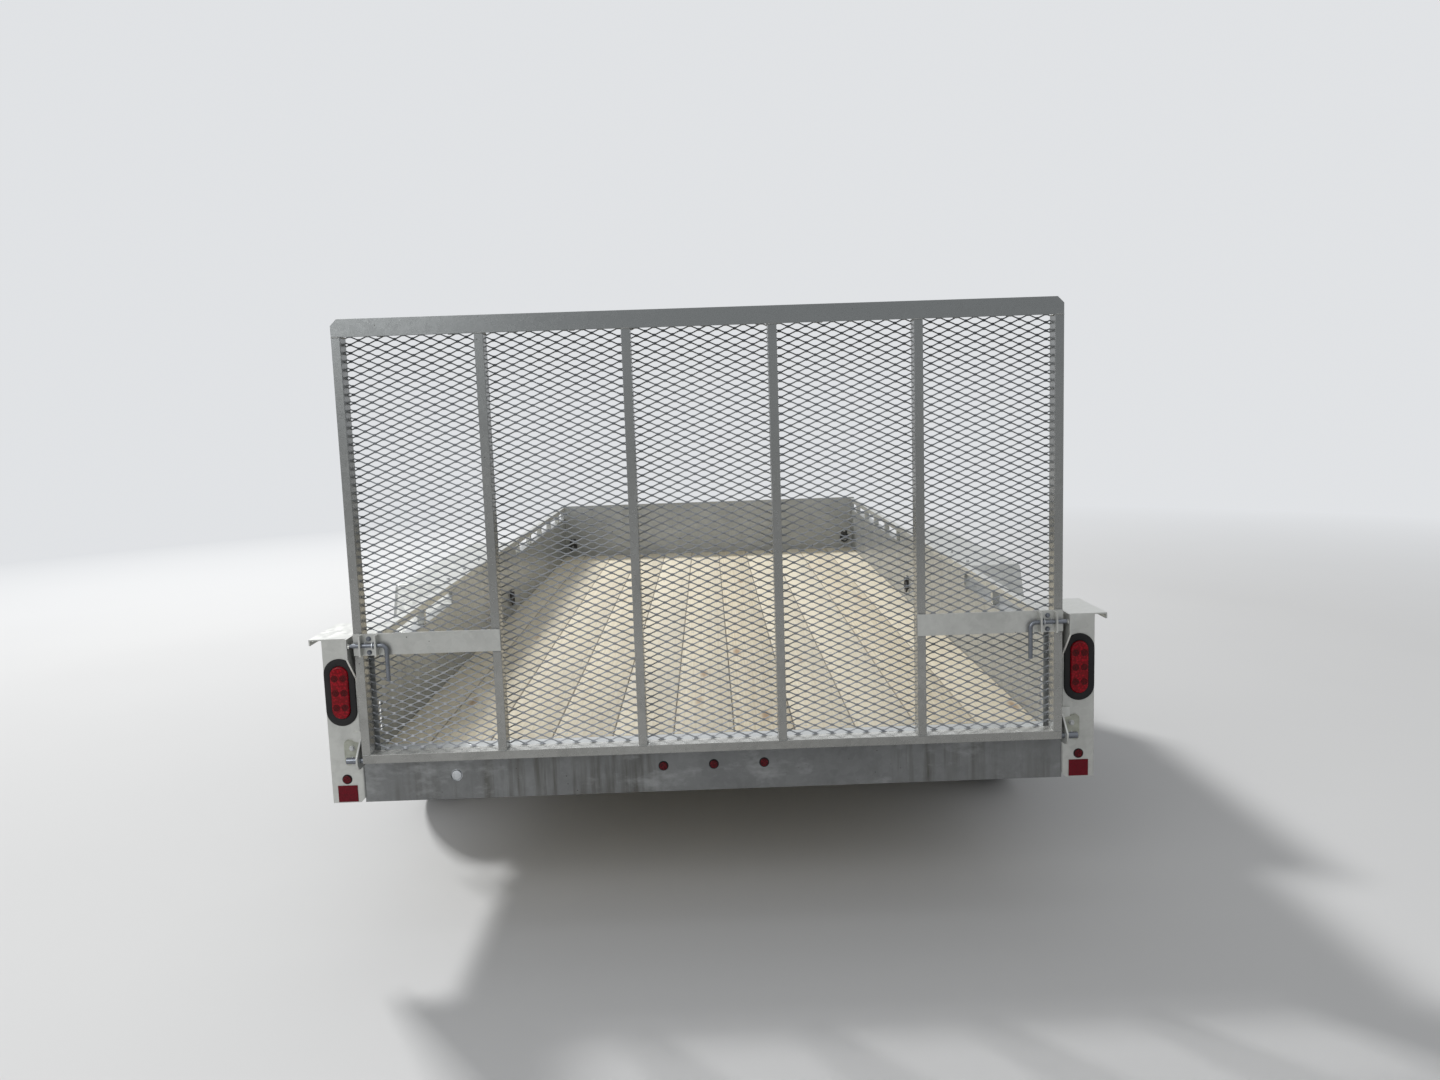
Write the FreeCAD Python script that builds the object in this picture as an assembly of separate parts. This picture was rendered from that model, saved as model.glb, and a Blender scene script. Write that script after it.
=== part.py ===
import FreeCAD
import Part
import math
import os

V = FreeCAD.Vector

# Utility trailer with two axles, a drop gate of expanded metal and an A-frame tongue.
# Millimetres. +Y points forwards to the hitch, +X to the right as seen from behind, +Z up.
# Everything is laid out from the rear face of the posts (y = 0), the ground (z = 0) and the
# centre line (x = 0), and moved at the end so that the origin is under the middle of the whole.

# Cargo bed
bed_length = 4267.0
bed_width = 1982.0
deck_top = 565.0
board_thick = 38.0
board_width = 183.0
board_gap = 2.0
board_edge_gap = 1.0

# Side walls, heights above the boards
sheet = 3.0
wall_height = 268.0
wall_flange = 40.0
wall_lip = 18.0
rail_height = 342.0
rail_size = 25.0
rail_wall = 3.0
stake_count = 11
stake_ends = (206.0, 298.0)
flange_end_gap = 15.0
jamb_width = 54.0
jamb_depth = 50.0
jamb_slot_count = 4
jamb_slot_pitch = 24.0
jamb_slot_height = 15.0
jamb_slot_above_deck = 57.0
jamb_slot_span = (17.0, 40.0)
front_wall_rise = 8.0
front_flange = 30.0
skirt_above_frame = 32.0

# Main frame
frame_bottom = 408.0
channel_flange = 50.0
channel_thick = 5.0
cross_height = 76.0
cross_flange = 38.0
cross_count = 9
cross_rear_gap = 20.0
cross_front_gap = 240.0
sill_depth = 60.0
cross_hole_x = -770.0
cross_hole_rise = 73.0
cross_hole_r = 18.0

# Rear posts
post_width = 98.0
post_depth = 50.0
post_thick = 4.0
post_corner = 14.0
post_bend = 3.5
post_lamp_inset = 47.0
cap_overhang = 36.0
cap_length = 244.0
cap_thick = 4.0
cap_lip = 18.0

# Lamps, heights above the bottom of the frame
lamp_rise = 338.0
lens_size = (56.0, 166.0)
sleeve_size = (66.0, 176.0)
grommet_size = (88.0, 198.0)
grommet_proud = 5.0
grommet_back = 4.0
lens_proud = 9.0
lens_round = 4.0
lamp_depth = 26.0
fit_gap = 0.3
marker_r = 12.0
marker_shank_r = 9.0
marker_proud = 4.0
marker_shank = 12.0
marker_round = 1.5
post_marker_rise = 72.0
centre_marker_rise = 79.0
centre_marker_pitch = 151.0
reflector_size = (58.0, 50.0)
reflector_rise = 28.0
reflector_thick = 2.0
side_marker_from_front = 77.0
side_marker_above_deck = 135.0
side_marker_size = (64.0, 30.0)
side_marker_thick = 14.0
side_marker_round = 4.0

# Gate
gate_side_gap = 19.0
gate_post_gap = 8.0
gate_depth = 50.0
gate_below_deck = 20.0
gate_bottom_rail = 26.0
gate_height = 1279.0
gate_top_rail = 50.0
gate_bar = 25.0
gate_wall = 3.0
gate_bays = 5
gate_chamfer = 18.0
mesh_thick = 3.0
mesh_cell = (203.2, 93.6)
mesh_strand = 15.0
mesh_side_inset = 6.0
mesh_top_lap = 12.0
brace_height = 63.0
brace_thick = 5.0

# Latch, placed from the edge of the gate and from the top of the rail
latch_drop = 6.0
latch_pin_r = 6.35
latch_pin_gap = 1.65
latch_hole_gap = 0.3
latch_ears_in = (73.0, 28.0)
latch_ear_thick = 5.0
latch_ear_reach = 14.0
latch_ear_half = 30.0
latch_plate_half = 31.0
latch_bend_in = 99.0
latch_bend_r = 16.0
latch_handle_drop = 105.0
latch_travel_gap = 5.0

# Keepers and hinge ears on the posts
keeper_gap = 10.0
keeper_thick = 5.0
keeper_hole_gap = 1.0
keeper_rise = 22.0
keeper_square = 59.0
keeper_drop = 138.0
keeper_foot_drop = 49.0
keeper_foot_width = 30.0
hinge_r = 8.0
hinge_gap = 0.3
hinge_pin_in = 61.0
hinge_pin_out = 33.0
hinge_ear_r = 26.0
hinge_ear_rise = 59.0
hinge_ear_step = 12.0
hinge_ear_neck = 28.0
hinge_foot_rise = 14.0
hinge_foot_width = 32.0

# Fenders
axle_group_y = 1670.0
fender_tyre_gap = 6.5
fender_sheet = 3.0
fender_skirt = 62.0
fender_half = 660.0
fender_drop = 310.0
fender_splay = 142.0
fender_fold_bend = 6.0
fender_edge_bend = 20.0
wheel_box_lap = 30.0

# Running gear
axle_spacing = 850.0
tyre_r = 345.0
tyre_width = 203.0
tyre_wall = 11.0
tyre_wall_gap = 16.5
tyre_sides = 36
rim_r = 190.5
rim_lip_r = 203.0
rim_width = 140.0
rim_sheet = 5.0
rim_well = 16.0
rim_seat = 24.0
rim_slope = 10.0
disc_x = 20.0
disc_thick = 8.0
disc_dish = 16.0
hand_hole_r = 17.0
hand_hole_circle = 118.0
hand_hole_count = 8
stud_circle = 57.15
stud_count = 5
stud_r = 10.0
stud_height = 16.0
hub_r = 38.0
hub_depth = 34.0
hub_cap_length = 46.0
drum_r = 127.0
drum_width = 58.0
drum_wall = 7.0
backing_r = 132.0
backing_thick = 5.0
running_gap = 5.0
axle_r = 30.0
axle_wall = 6.0
spindle_r = 19.0
spindle_gap = 0.3
spindle_past_disc = 20.0
spring_inset = 25.0
spring_width = 45.0
leaf_thick = 7.0
leaf_half_lengths = (330.0, 250.0, 180.0, 110.0)
spring_sag = 40.0
equalizer_lap = 20.0
equalizer_half = 18.0
equalizer_rise = 30.0
equalizer_bolt_end = 6.0
eye_r = 17.0
eye_bolt_r = 7.0
hanger_side_gap = 10.5
hanger_thick = 5.0
hanger_length = 70.0
hanger_below_eye = 22.0
hanger_bolt_end = 8.0
seat_gap = 0.4
seat_half = 30.0
clamp_rod_r = 6.0
clamp_side_gap = 0.5
clamp_plate = 10.0
clamp_plate_lap = 14.0
clamp_rod_end = 14.0
clamp_length = 96.0

# Tongue, coupler and jack
tongue_height = 76.0
tongue_flange = 38.0
tongue_thick = 5.0
tongue_reach = 1220.0
tongue_apex_half = 34.0
tongue_cut_margin = 200.0
tongue_back_half = 640.0
tongue_back = 620.0
tongue_plate_lap = 26.0
tongue_cross_gap = 10.0
coupler_ball_r = 25.4
coupler_gap = 0.8
coupler_shell = 5.0
coupler_nose_wall = 9.0
coupler_length = 300.0
coupler_half = 38.0
coupler_height = 62.0
coupler_nose = 40.0
coupler_nose_r = 12.0
coupler_top_start = 120.0
coupler_tail_height = 34.0
lever_length = 112.0
lever_back = 36.0
lever_low = 16.0
lever_high = 26.0
lever_step = 12.0
lever_half = 9.0
coupler_plate_thick = 8.0
coupler_plate_gap = 40.0
coupler_ball_rise = 23.6
chain_plate_thick = 8.0
chain_plate_half = 118.0
chain_eye_r = 8.0
chain_eye_edge = 22.0
chain_eye_back = 150.0
chain_plate_ends = (28.0, 20.0, 40.0)
chain_plate_corner = 30.0
jack_back = 330.0
jack_plate_length = 110.0
jack_plate_thick = 10.0
jack_tube_r = 28.5
jack_tube_wall = 3.5
jack_tube_rise = 300.0
jack_tube_end_gap = 20.0
jack_leg_gap = 1.0
jack_leg_top_gap = 40.0
jack_collar_height = 24.0
jack_collar_lap = 12.0
jack_foot_half = 76.0
jack_foot_corner = 22.0
jack_foot_thick = 6.0
jack_head_r = 33.0
jack_head_height = 46.0
jack_head_round = 8.0
jack_crank_rise = 22.0
jack_crank_arm = 150.0
jack_crank_r = 6.5
jack_grip_r = 15.0
jack_grip_length = 75.0
jack_grip_inset = 10.0
jack_travel = 250.0

# Tie-down rings
ring_past_axles = 490.0
ring_from_corner = 48.0
ring_above_deck = 92.0
ring_r = 26.0
ring_rod_r = 5.0
ring_plate = (44.0, 62.0)
ring_plate_thick = 5.0
ring_clip = (12.0, 20.0, 3.0)

# Worked out from the values above
half_bed = bed_width / 2
board_bottom = deck_top - board_thick
wall_top = deck_top + wall_height
rail_top = deck_top + rail_height
rail_low = rail_top - rail_size
front_wall_top = rail_top + front_wall_rise
post_in = half_bed + jamb_width
post_out = post_in + post_width
post_mid = post_out - post_lamp_inset
lamp_z = frame_bottom + lamp_rise
gate_half = post_in - gate_side_gap
gate_front_y = -(gate_post_gap + mesh_thick)
gate_rear_y = gate_front_y - gate_depth
gate_bottom = deck_top - gate_below_deck
gate_top = gate_bottom + gate_height
latch_z = rail_top - latch_drop
latch_plate_y = gate_rear_y - 2 * brace_thick
latch_y = latch_plate_y - latch_pin_gap - latch_pin_r
rearmost_y = latch_y - latch_ear_reach
keeper_x = gate_half + keeper_gap
hinge_y = gate_rear_y + gate_wall + hinge_r
hinge_z = gate_bottom + hinge_r
wheel_x = half_bed + sheet + tyre_wall_gap + tyre_width / 2
fender_out = wheel_x + tyre_width / 2 + fender_tyre_gap
wheel_box_half = fender_half + wheel_box_lap
eye_z = tyre_r
bolt_z = eye_z + leaf_thick / 2
spring_x = half_bed - spring_inset
spring_in = spring_x - spring_width / 2
spring_out = spring_x + spring_width / 2
tongue_top = frame_bottom
tongue_low = tongue_top - tongue_height
apex_y = bed_length + tongue_reach
nose_y = apex_y + coupler_nose
ball_y = nose_y - coupler_ball_r - coupler_gap - coupler_nose_wall
ball_z = tongue_top + coupler_ball_rise
jack_y = apex_y - jack_back
jack_tube_top = tongue_top + jack_tube_rise
jack_tube_low = jack_foot_thick + jack_collar_height + jack_travel + jack_tube_end_gap
jack_leg_r = jack_tube_r - jack_tube_wall - jack_leg_gap
middle_y = (rearmost_y + nose_y) / 2


def box(x0, x1, y0, y1, z0, z1):
    """A block between two corners."""
    return Part.makeBox(x1 - x0, y1 - y0, z1 - z0, V(x0, y0, z0))


def rod(start, end, radius):
    """A round bar between two points."""
    a = V(*start)
    along = V(*end) - a
    return Part.makeCylinder(radius, along.Length, a, along)


def prism(points, direction):
    """A flat outline of points, pushed along a direction."""
    corners = [V(*p) for p in points]
    face = Part.Face(Part.makePolygon(corners + corners[:1]))
    return face.extrude(V(*direction))


def prism_x(outline_yz, x0, x1):
    return prism([(x0, y, z) for y, z in outline_yz], (x1 - x0, 0, 0))


def prism_y(outline_xz, y0, y1):
    return prism([(x, y0, z) for x, z in outline_xz], (0, y1 - y0, 0))


def prism_z(outline_xy, z0, z1):
    return prism([(x, y, z0) for x, y in outline_xy], (0, 0, z1 - z0))


def fuse(shapes):
    """One solid from shapes that touch."""
    first = shapes[0]
    rest = shapes[1:]
    return first.fuse(rest).removeSplitter() if rest else first


def group(shapes):
    """Separate solids kept together in one node."""
    solids = []
    for shape in shapes:
        solids.extend(shape.Solids)
    return Part.makeCompound(solids)


def mirrored(shape):
    """The same piece on the other side of the centre line."""
    return shape.mirror(V(0, 0, 0), V(1, 0, 0))


def both(shape):
    return [shape, mirrored(shape)]


def obround(x, z, width, height, y0, y1):
    """An upright slot shape with round ends."""
    r = width / 2
    straight = height / 2 - r
    body = box(x - r, x + r, y0, y1, z - straight, z + straight)
    ends = [rod((x, y0, z + s * straight), (x, y1, z + s * straight), r) for s in (-1, 1)]
    return fuse([body] + ends)


# Cargo bed

def deck_boards():
    """Boards that run the length of the bed, laid from the right, with the last cut narrower."""
    start = sill_depth + board_gap
    end = bed_length - board_gap
    left_edge = board_edge_gap - half_bed
    x1 = half_bed - board_edge_gap
    boards = []
    while x1 > left_edge:
        x0 = max(x1 - board_width, left_edge)
        boards.append(box(x0, x1, start, end, board_bottom, deck_top))
        x1 = x0 - board_gap
    return group(boards)


def frame_rail():
    """Right main rail: a channel open inwards, its web against the wall sheet."""
    x1 = half_bed
    x0 = half_bed - channel_flange
    y0 = channel_thick
    block = box(x0, x1, y0, bed_length - channel_flange, frame_bottom, board_bottom)
    hollow = box(x0, x1 - channel_thick, y0, bed_length - channel_flange,
                 frame_bottom + channel_thick, board_bottom - channel_thick)
    return block.cut(hollow)


def cross_channel(y, reach, low, high, flange):
    """A channel across the bed, open forwards."""
    block = box(-reach, reach, y, y + flange, low, high)
    hollow = box(-reach, reach, y + channel_thick, y + flange,
                 low + channel_thick, high - channel_thick)
    return block.cut(hollow)


def crossmembers():
    """Floor channels between the main rails, under the boards."""
    reach = half_bed - channel_flange
    low = board_bottom - cross_height
    first = sill_depth + cross_rear_gap
    last = bed_length - channel_flange - cross_front_gap
    pitch = (last - first) / (cross_count - 1)
    channels = [cross_channel(first + i * pitch, reach, low, board_bottom, cross_flange)
                for i in range(cross_count)]
    deep_y = bed_length - tongue_back + tongue_cross_gap
    channels.append(cross_channel(deep_y, reach, frame_bottom, board_bottom, cross_flange))
    return group(channels)


def front_crossmember():
    """Channel that closes the frame under the front wall."""
    y0 = bed_length - channel_flange
    block = box(-half_bed, half_bed, y0, bed_length, frame_bottom, board_bottom)
    hollow = box(-half_bed, half_bed, y0, bed_length - channel_thick,
                 frame_bottom + channel_thick, board_bottom - channel_thick)
    return block.cut(hollow)


def rear_crossmember():
    """Full-width rear channel whose top flange is the sill of the bed."""
    reach = post_in
    hole_z = frame_bottom + cross_hole_rise
    marker_z = frame_bottom + centre_marker_rise
    face = box(-reach, reach, 0, channel_thick, frame_bottom, deck_top)
    sill = box(-half_bed + fit_gap, half_bed - fit_gap, channel_thick, sill_depth,
               deck_top - channel_thick, deck_top)
    foot_in = half_bed - channel_flange
    foot = box(-foot_in, foot_in, channel_thick, sill_depth,
               frame_bottom, frame_bottom + channel_thick)
    body = fuse([face, sill, foot])
    cuts = [rod((cross_hole_x, -1, hole_z), (cross_hole_x, channel_thick + 1, hole_z),
                cross_hole_r)]
    for i in (-1, 0, 1):
        x = i * centre_marker_pitch
        cuts.append(rod((x, -1, marker_z), (x, channel_thick + 1, marker_z),
                        marker_shank_r + fit_gap))
    return body.cut(cuts)


# Side walls

def wall_spans():
    """Lengths of low wall behind and ahead of the wheel box."""
    reach = wheel_box_half + flange_end_gap
    return (jamb_depth, axle_group_y - reach), (axle_group_y + reach, bed_length)


def stake_places():
    """Forward places of the stakes, which share one pitch and skip the wheel box."""
    first, last = stake_ends
    pitch = (bed_length - first - last) / (stake_count - 1)
    half = rail_size / 2
    places = [first + i * pitch for i in range(stake_count)]
    return [y for y in places
            if any(start < y - half and y + half < stop for start, stop in wall_spans())]


def side_panel():
    """Right wall: a folded sheet, taller where it closes the wheel box, with the rear jamb."""
    x0 = half_bed
    x1 = half_bed + sheet
    low = frame_bottom + skirt_above_frame
    low_wall = box(x0, x1, channel_thick, bed_length, low, wall_top)
    tall = box(x0, x1, axle_group_y - wheel_box_half, axle_group_y + wheel_box_half,
               wall_top, rail_low)
    flange_out = x0 + wall_flange
    parts = [low_wall, tall]
    for start, stop in wall_spans():
        parts.append(box(x0, flange_out, start, stop, wall_top - sheet, wall_top))
        parts.append(box(flange_out - sheet, flange_out, start, stop,
                         wall_top - wall_lip, wall_top))
    jamb_inner = box(x0, x1, channel_thick, jamb_depth, wall_top, rail_low)
    jamb_rear = box(x0, post_in, channel_thick, channel_thick + sheet, deck_top, rail_low)
    body = fuse(parts + [jamb_inner, jamb_rear])
    slots = []
    for i in range(jamb_slot_count):
        slot_low = deck_top + jamb_slot_above_deck + i * jamb_slot_pitch
        slots.append(box(x0 - 1, x1 + 1, *jamb_slot_span, slot_low,
                         slot_low + jamb_slot_height))
    return body.cut(slots)


def tube_y(x0, x1, z0, z1, y0, y1, wall):
    """A rectangular tube that runs forwards."""
    return box(x0, x1, y0, y1, z0, z1).cut(
        box(x0 + wall, x1 - wall, y0 - 1, y1 + 1, z0 + wall, z1 - wall))


def top_rail():
    """Right top rail with the short stakes that stand on the wall's flange."""
    x0 = half_bed
    x1 = half_bed + rail_size
    rail = tube_y(x0, x1, rail_low, rail_top, channel_thick, bed_length, rail_wall)
    half = rail_size / 2
    stakes = [box(x0, x1, y - half, y + half, wall_top, rail_low) for y in stake_places()]
    return fuse([rail] + stakes)


def front_wall():
    """Solid front wall with a flange folded forwards at its top."""
    x1 = half_bed + rail_size
    y0 = bed_length
    face = box(-x1, x1, y0, y0 + sheet, frame_bottom, front_wall_top)
    flange = box(-x1, x1, y0, y0 + front_flange, front_wall_top - sheet, front_wall_top)
    lip = box(-x1, x1, y0 + front_flange - sheet, y0 + front_flange,
              front_wall_top - wall_lip, front_wall_top)
    return fuse([face, flange, lip])


# Rear posts and lamps

def post_hole():
    """Opening in a post's face for the rear lamp."""
    return obround(post_mid, lamp_z, sleeve_size[0] + 2 * fit_gap,
                   sleeve_size[1] + 2 * fit_gap, -1, post_thick + 1)


def rear_post():
    """Right rear post: a folded face with side returns, its cap plate and gate brackets."""
    top = rail_top - cap_thick
    low = frame_bottom
    outline = [
        (post_in, low + post_corner), (post_in + post_corner, low), (post_out, low),
        (post_out, top), (post_in, top),
    ]
    face = prism_y(outline, 0, post_thick)
    returns = [
        box(post_in, post_in + post_thick, 0, post_depth, low + post_corner, top),
        box(post_out - post_thick, post_out, 0, post_depth, low, top),
    ]
    folded = fuse([face] + returns)
    folds = [e for e in folded.Edges if e.BoundBox.YMax < 0.01 and e.BoundBox.XLength < 0.01
             and e.BoundBox.ZLength > post_width]
    folded = folded.makeFillet(post_bend, folds)
    cap_in = half_bed + rail_size
    cap_out = post_out + cap_overhang
    cap = box(cap_in, cap_out, 0, cap_length, top, rail_top)
    lip = box(cap_out - cap_thick, cap_out, 0, cap_length, rail_top - cap_lip, rail_top)
    body = fuse([folded, cap, lip, keeper(), hinge_ear()])
    marker_z = frame_bottom + post_marker_rise
    marker_hole = rod((post_mid, -1, marker_z), (post_mid, post_thick + 1, marker_z),
                      marker_shank_r + fit_gap)
    return body.cut([post_hole(), marker_hole])


def keeper():
    """Ear on a post that the latch pin slides into, with its foot on the post's face."""
    top = latch_z + keeper_rise
    ear = prism_x([(0, top), (rearmost_y, top), (rearmost_y, top - keeper_square),
                   (0, latch_z - keeper_drop)], keeper_x, keeper_x + keeper_thick)
    foot = box(keeper_x, keeper_x + keeper_foot_width, -keeper_thick, 0,
               latch_z - keeper_foot_drop, rail_top)
    hole = rod((keeper_x - 1, latch_y, latch_z),
               (keeper_x + keeper_thick + 1, latch_y, latch_z), latch_pin_r + keeper_hole_gap)
    return fuse([ear, foot]).cut(hole)


def hinge_ear():
    """Ear on a post that carries the gate's hinge pin, with a bolted foot."""
    x0 = keeper_x
    x1 = keeper_x + keeper_thick
    low = hinge_z - hinge_ear_r
    top = hinge_z + hinge_ear_rise
    back = hinge_y - hinge_ear_r
    web = prism_x([(0, low), (hinge_y, low), (back, hinge_z), (back, hinge_z + hinge_ear_step),
                   (-hinge_ear_neck, top), (0, top)], x0, x1)
    round_end = rod((x0, hinge_y, hinge_z), (x1, hinge_y, hinge_z), hinge_ear_r)
    foot = box(x0, x0 + hinge_foot_width, -keeper_thick, 0, low, top + hinge_foot_rise)
    hole = rod((x0 - 1, hinge_y, hinge_z), (x1 + 1, hinge_y, hinge_z), hinge_r + hinge_gap)
    return fuse([web, round_end, foot]).cut(hole)


def lamp_grommets():
    """Rubber rings that hold the oval rear lamps."""
    flange = obround(post_mid, lamp_z, *grommet_size, -grommet_proud, 0)
    back = post_thick + grommet_back
    sleeve = obround(post_mid, lamp_z, *sleeve_size, 0, back)
    hole = obround(post_mid, lamp_z, *lens_size, -grommet_proud - 1, back + 1)
    return group(both(fuse([flange, sleeve]).cut(hole)))


def lamp_lenses():
    """Oval red lamps, slightly proud of their rubber."""
    width, height = lens_size
    body = obround(post_mid, lamp_z, width - 2 * fit_gap, height - 2 * fit_gap,
                   -lens_proud, lamp_depth)
    front = [e for e in body.Edges if e.BoundBox.YMax < -lens_proud + 0.01]
    return group(both(body.makeFillet(lens_round, front)))


def marker(x, z, back):
    """Small round marker lamp set into a face."""
    head = Part.makeCylinder(marker_r, marker_proud, V(x, 0, z), V(0, -1, 0))
    outer = [e for e in head.Edges if e.BoundBox.YMax < -marker_proud + 0.01]
    head = head.makeFillet(marker_round, outer)
    shank = rod((x, 0, z), (x, back, z), marker_shank_r)
    return fuse([head, shank])


def marker_lamps():
    """One marker on each post and three at the middle of the rear channel."""
    post_z = frame_bottom + post_marker_rise
    centre_z = frame_bottom + centre_marker_rise
    lamps = [marker(s * post_mid, post_z, marker_shank) for s in (-1, 1)]
    lamps += [marker(i * centre_marker_pitch, centre_z, marker_shank) for i in (-1, 0, 1)]
    return group(lamps)


def reflectors():
    """Flat red reflectors low on the posts."""
    width, height = reflector_size
    z = frame_bottom + reflector_rise
    one = box(post_mid - width / 2, post_mid + width / 2, -reflector_thick, 0,
              z - height / 2, z + height / 2)
    return group(both(one))


def side_markers():
    """Amber lamps at the front of each wall's outer face."""
    length, height = side_marker_size
    x0 = half_bed + sheet
    y = bed_length - side_marker_from_front
    z = deck_top + side_marker_above_deck
    one = box(x0, x0 + side_marker_thick, y - length / 2, y + length / 2,
              z - height / 2, z + height / 2)
    edges = [e for e in one.Edges if e.BoundBox.XMin > x0 + side_marker_thick - 0.01]
    return group(both(one.makeFillet(side_marker_round, edges)))


def tie_down():
    """One ring hanging from its clip on a plate: the plate's back is at x = 0."""
    length, height = ring_plate
    clip_half, clip_height, clip_wall = ring_clip
    plate = box(-ring_plate_thick, 0, -length / 2, length / 2, -height / 2, height / 2)
    ring_x = -ring_plate_thick - ring_rod_r
    ring = Part.makeTorus(ring_r, ring_rod_r, V(ring_x, 0, ring_rod_r - ring_r), V(1, 0, 0))
    clip = box(ring_x - ring_rod_r - clip_wall, -ring_plate_thick, -clip_half, clip_half,
               0, clip_height)
    return fuse([plate, ring, clip])


def tie_downs():
    """Rings on the side walls past the axles and on the front wall near its corners."""
    z = deck_top + ring_above_deck
    side = tie_down()
    side.translate(V(half_bed, axle_group_y + ring_past_axles, z))
    front = tie_down()
    front.rotate(V(0, 0, 0), V(0, 0, 1), 90)
    front.translate(V(half_bed - ring_from_corner, bed_length, z))
    return group(both(side) + both(front))


# Gate

def gate_channel(x0, x1, z0, z1):
    """An upright gate member: a narrow channel, open forwards to the mesh."""
    block = box(x0, x1, gate_rear_y, gate_front_y, z0, z1)
    hollow = box(x0 + gate_wall, x1 - gate_wall, gate_rear_y + gate_wall,
                 gate_front_y, z0, z1)
    return block.cut(hollow)


def inner_bars():
    """Sideways places of the inner bars, which share the gate into equal bays."""
    bay = 2 * gate_half / gate_bays
    return [i * bay - gate_half for i in range(1, gate_bays)]


def gate_frame():
    """Top and bottom rails, side uprights and the inner bars."""
    c = gate_chamfer
    top_low = gate_top - gate_top_rail
    outline = [(-gate_half, top_low), (gate_half, top_low), (gate_half, gate_top - c),
               (gate_half - c, gate_top), (c - gate_half, gate_top),
               (-gate_half, gate_top - c)]
    top = prism_y(outline, gate_rear_y, gate_front_y)
    top = top.cut(prism_y([
        (gate_wall - gate_half, top_low - 1), (gate_half - gate_wall, top_low - 1),
        (gate_half - gate_wall, gate_top - c - gate_wall), (gate_half - c - gate_wall,
                                                            gate_top - gate_wall),
        (c + gate_wall - gate_half, gate_top - gate_wall),
        (gate_wall - gate_half, gate_top - c - gate_wall),
    ], gate_rear_y + gate_wall, gate_front_y + 1))
    sill_top = gate_bottom + gate_bottom_rail
    bottom = box(-gate_half, gate_half, gate_rear_y, gate_front_y, gate_bottom, sill_top)
    bottom = bottom.cut(box(-gate_half - 1, gate_half + 1, gate_rear_y + gate_wall,
                            gate_front_y + 1, gate_bottom - 1, sill_top - gate_wall))
    bars = [gate_channel(x - gate_bar / 2, x + gate_bar / 2, sill_top, top_low)
            for x in inner_bars()]
    side = gate_channel(gate_half - gate_bar, gate_half, sill_top, top_low)
    return fuse([top, bottom] + bars + both(side))


def gate_mesh():
    """Expanded metal on the forward side of the bars, with its diamonds at a coarse pitch."""
    x1 = gate_half - mesh_side_inset
    z0 = gate_bottom + mesh_side_inset
    z1 = gate_top - gate_top_rail + mesh_top_lap
    y0 = gate_front_y
    cell_w, cell_h = mesh_cell
    grow = mesh_strand / math.hypot(cell_w, cell_h)
    half_w = cell_w / 2 * (1 - 2 * grow)
    half_h = cell_h / 2 * (1 - 2 * grow)
    rim = mesh_strand / 2
    sheet_box = box(-x1, x1, y0, y0 + mesh_thick, z0, z1)
    area = box(-x1 + rim, x1 - rim, y0 - 1, y0 + mesh_thick + 1, z0 + rim, z1 - rim)
    columns = int(x1 / (cell_w / 2)) + 2
    rows = int((z1 - z0) / (cell_h / 2)) + 2
    holes = []
    for i in range(-columns, columns + 1):
        for k in range(rows):
            if (i + k) % 2:
                continue
            x = i * cell_w / 2
            z = z0 + k * cell_h / 2
            outline = [(x - half_w, z), (x, z - half_h), (x + half_w, z), (x, z + half_h)]
            holes.append(prism_y(outline, y0 - 1, y0 + mesh_thick + 1))
    cutter = Part.makeCompound(holes).common(area)
    return sheet_box.cut(cutter)


def gate_braces():
    """Flat bars over the gate's rear face, with the two-eared brackets for the latch pins."""
    x0 = inner_bars()[-1] - gate_bar / 2
    y1 = gate_rear_y
    y2 = y1 - brace_thick
    bar = box(x0, gate_half, y2, y1, latch_z - brace_height / 2, latch_z + brace_height / 2)
    ear_in, ear_out = [gate_half - inset for inset in latch_ears_in]
    plate = box(ear_in, ear_out + latch_ear_thick, latch_plate_y, y2,
                latch_z - latch_plate_half, latch_z + latch_plate_half)
    ears = []
    for x in (ear_in, ear_out):
        x_out = x + latch_ear_thick
        ear = box(x, x_out, rearmost_y, latch_plate_y,
                  latch_z - latch_ear_half, latch_z + latch_ear_half)
        hole = rod((x - 1, latch_y, latch_z), (x_out + 1, latch_y, latch_z),
                   latch_pin_r + latch_hole_gap)
        ears.append(ear.cut(hole))
    return group(both(fuse([bar, plate] + ears)))


def latch_pins():
    """Bent pins held in the latch brackets, drawn back clear of the keepers."""
    tip = keeper_x - latch_travel_gap
    r = latch_bend_r
    x = gate_half - latch_bend_in
    corner = r * (1 - math.sqrt(0.5))
    start = V(tip, latch_y, latch_z)
    bend_a = V(x + r, latch_y, latch_z)
    middle = V(x + corner, latch_y, latch_z - corner)
    bend_b = V(x, latch_y, latch_z - r)
    end = V(x, latch_y, latch_z - latch_handle_drop)
    path = Part.Wire([Part.LineSegment(start, bend_a).toShape(),
                      Part.Arc(bend_a, middle, bend_b).toShape(),
                      Part.LineSegment(bend_b, end).toShape()])
    section = Part.Wire(Part.Circle(start, V(-1, 0, 0), latch_pin_r).toShape())
    pin = path.makePipeShell([section], True, True)
    return group(both(pin))


def hinge_pins():
    """Round bars under the ends of the bottom rail, through the ears on the posts."""
    pin = rod((gate_half - hinge_pin_in, hinge_y, hinge_z),
              (keeper_x + hinge_pin_out, hinge_y, hinge_z), hinge_r)
    return group(both(pin))


# Fenders

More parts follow.
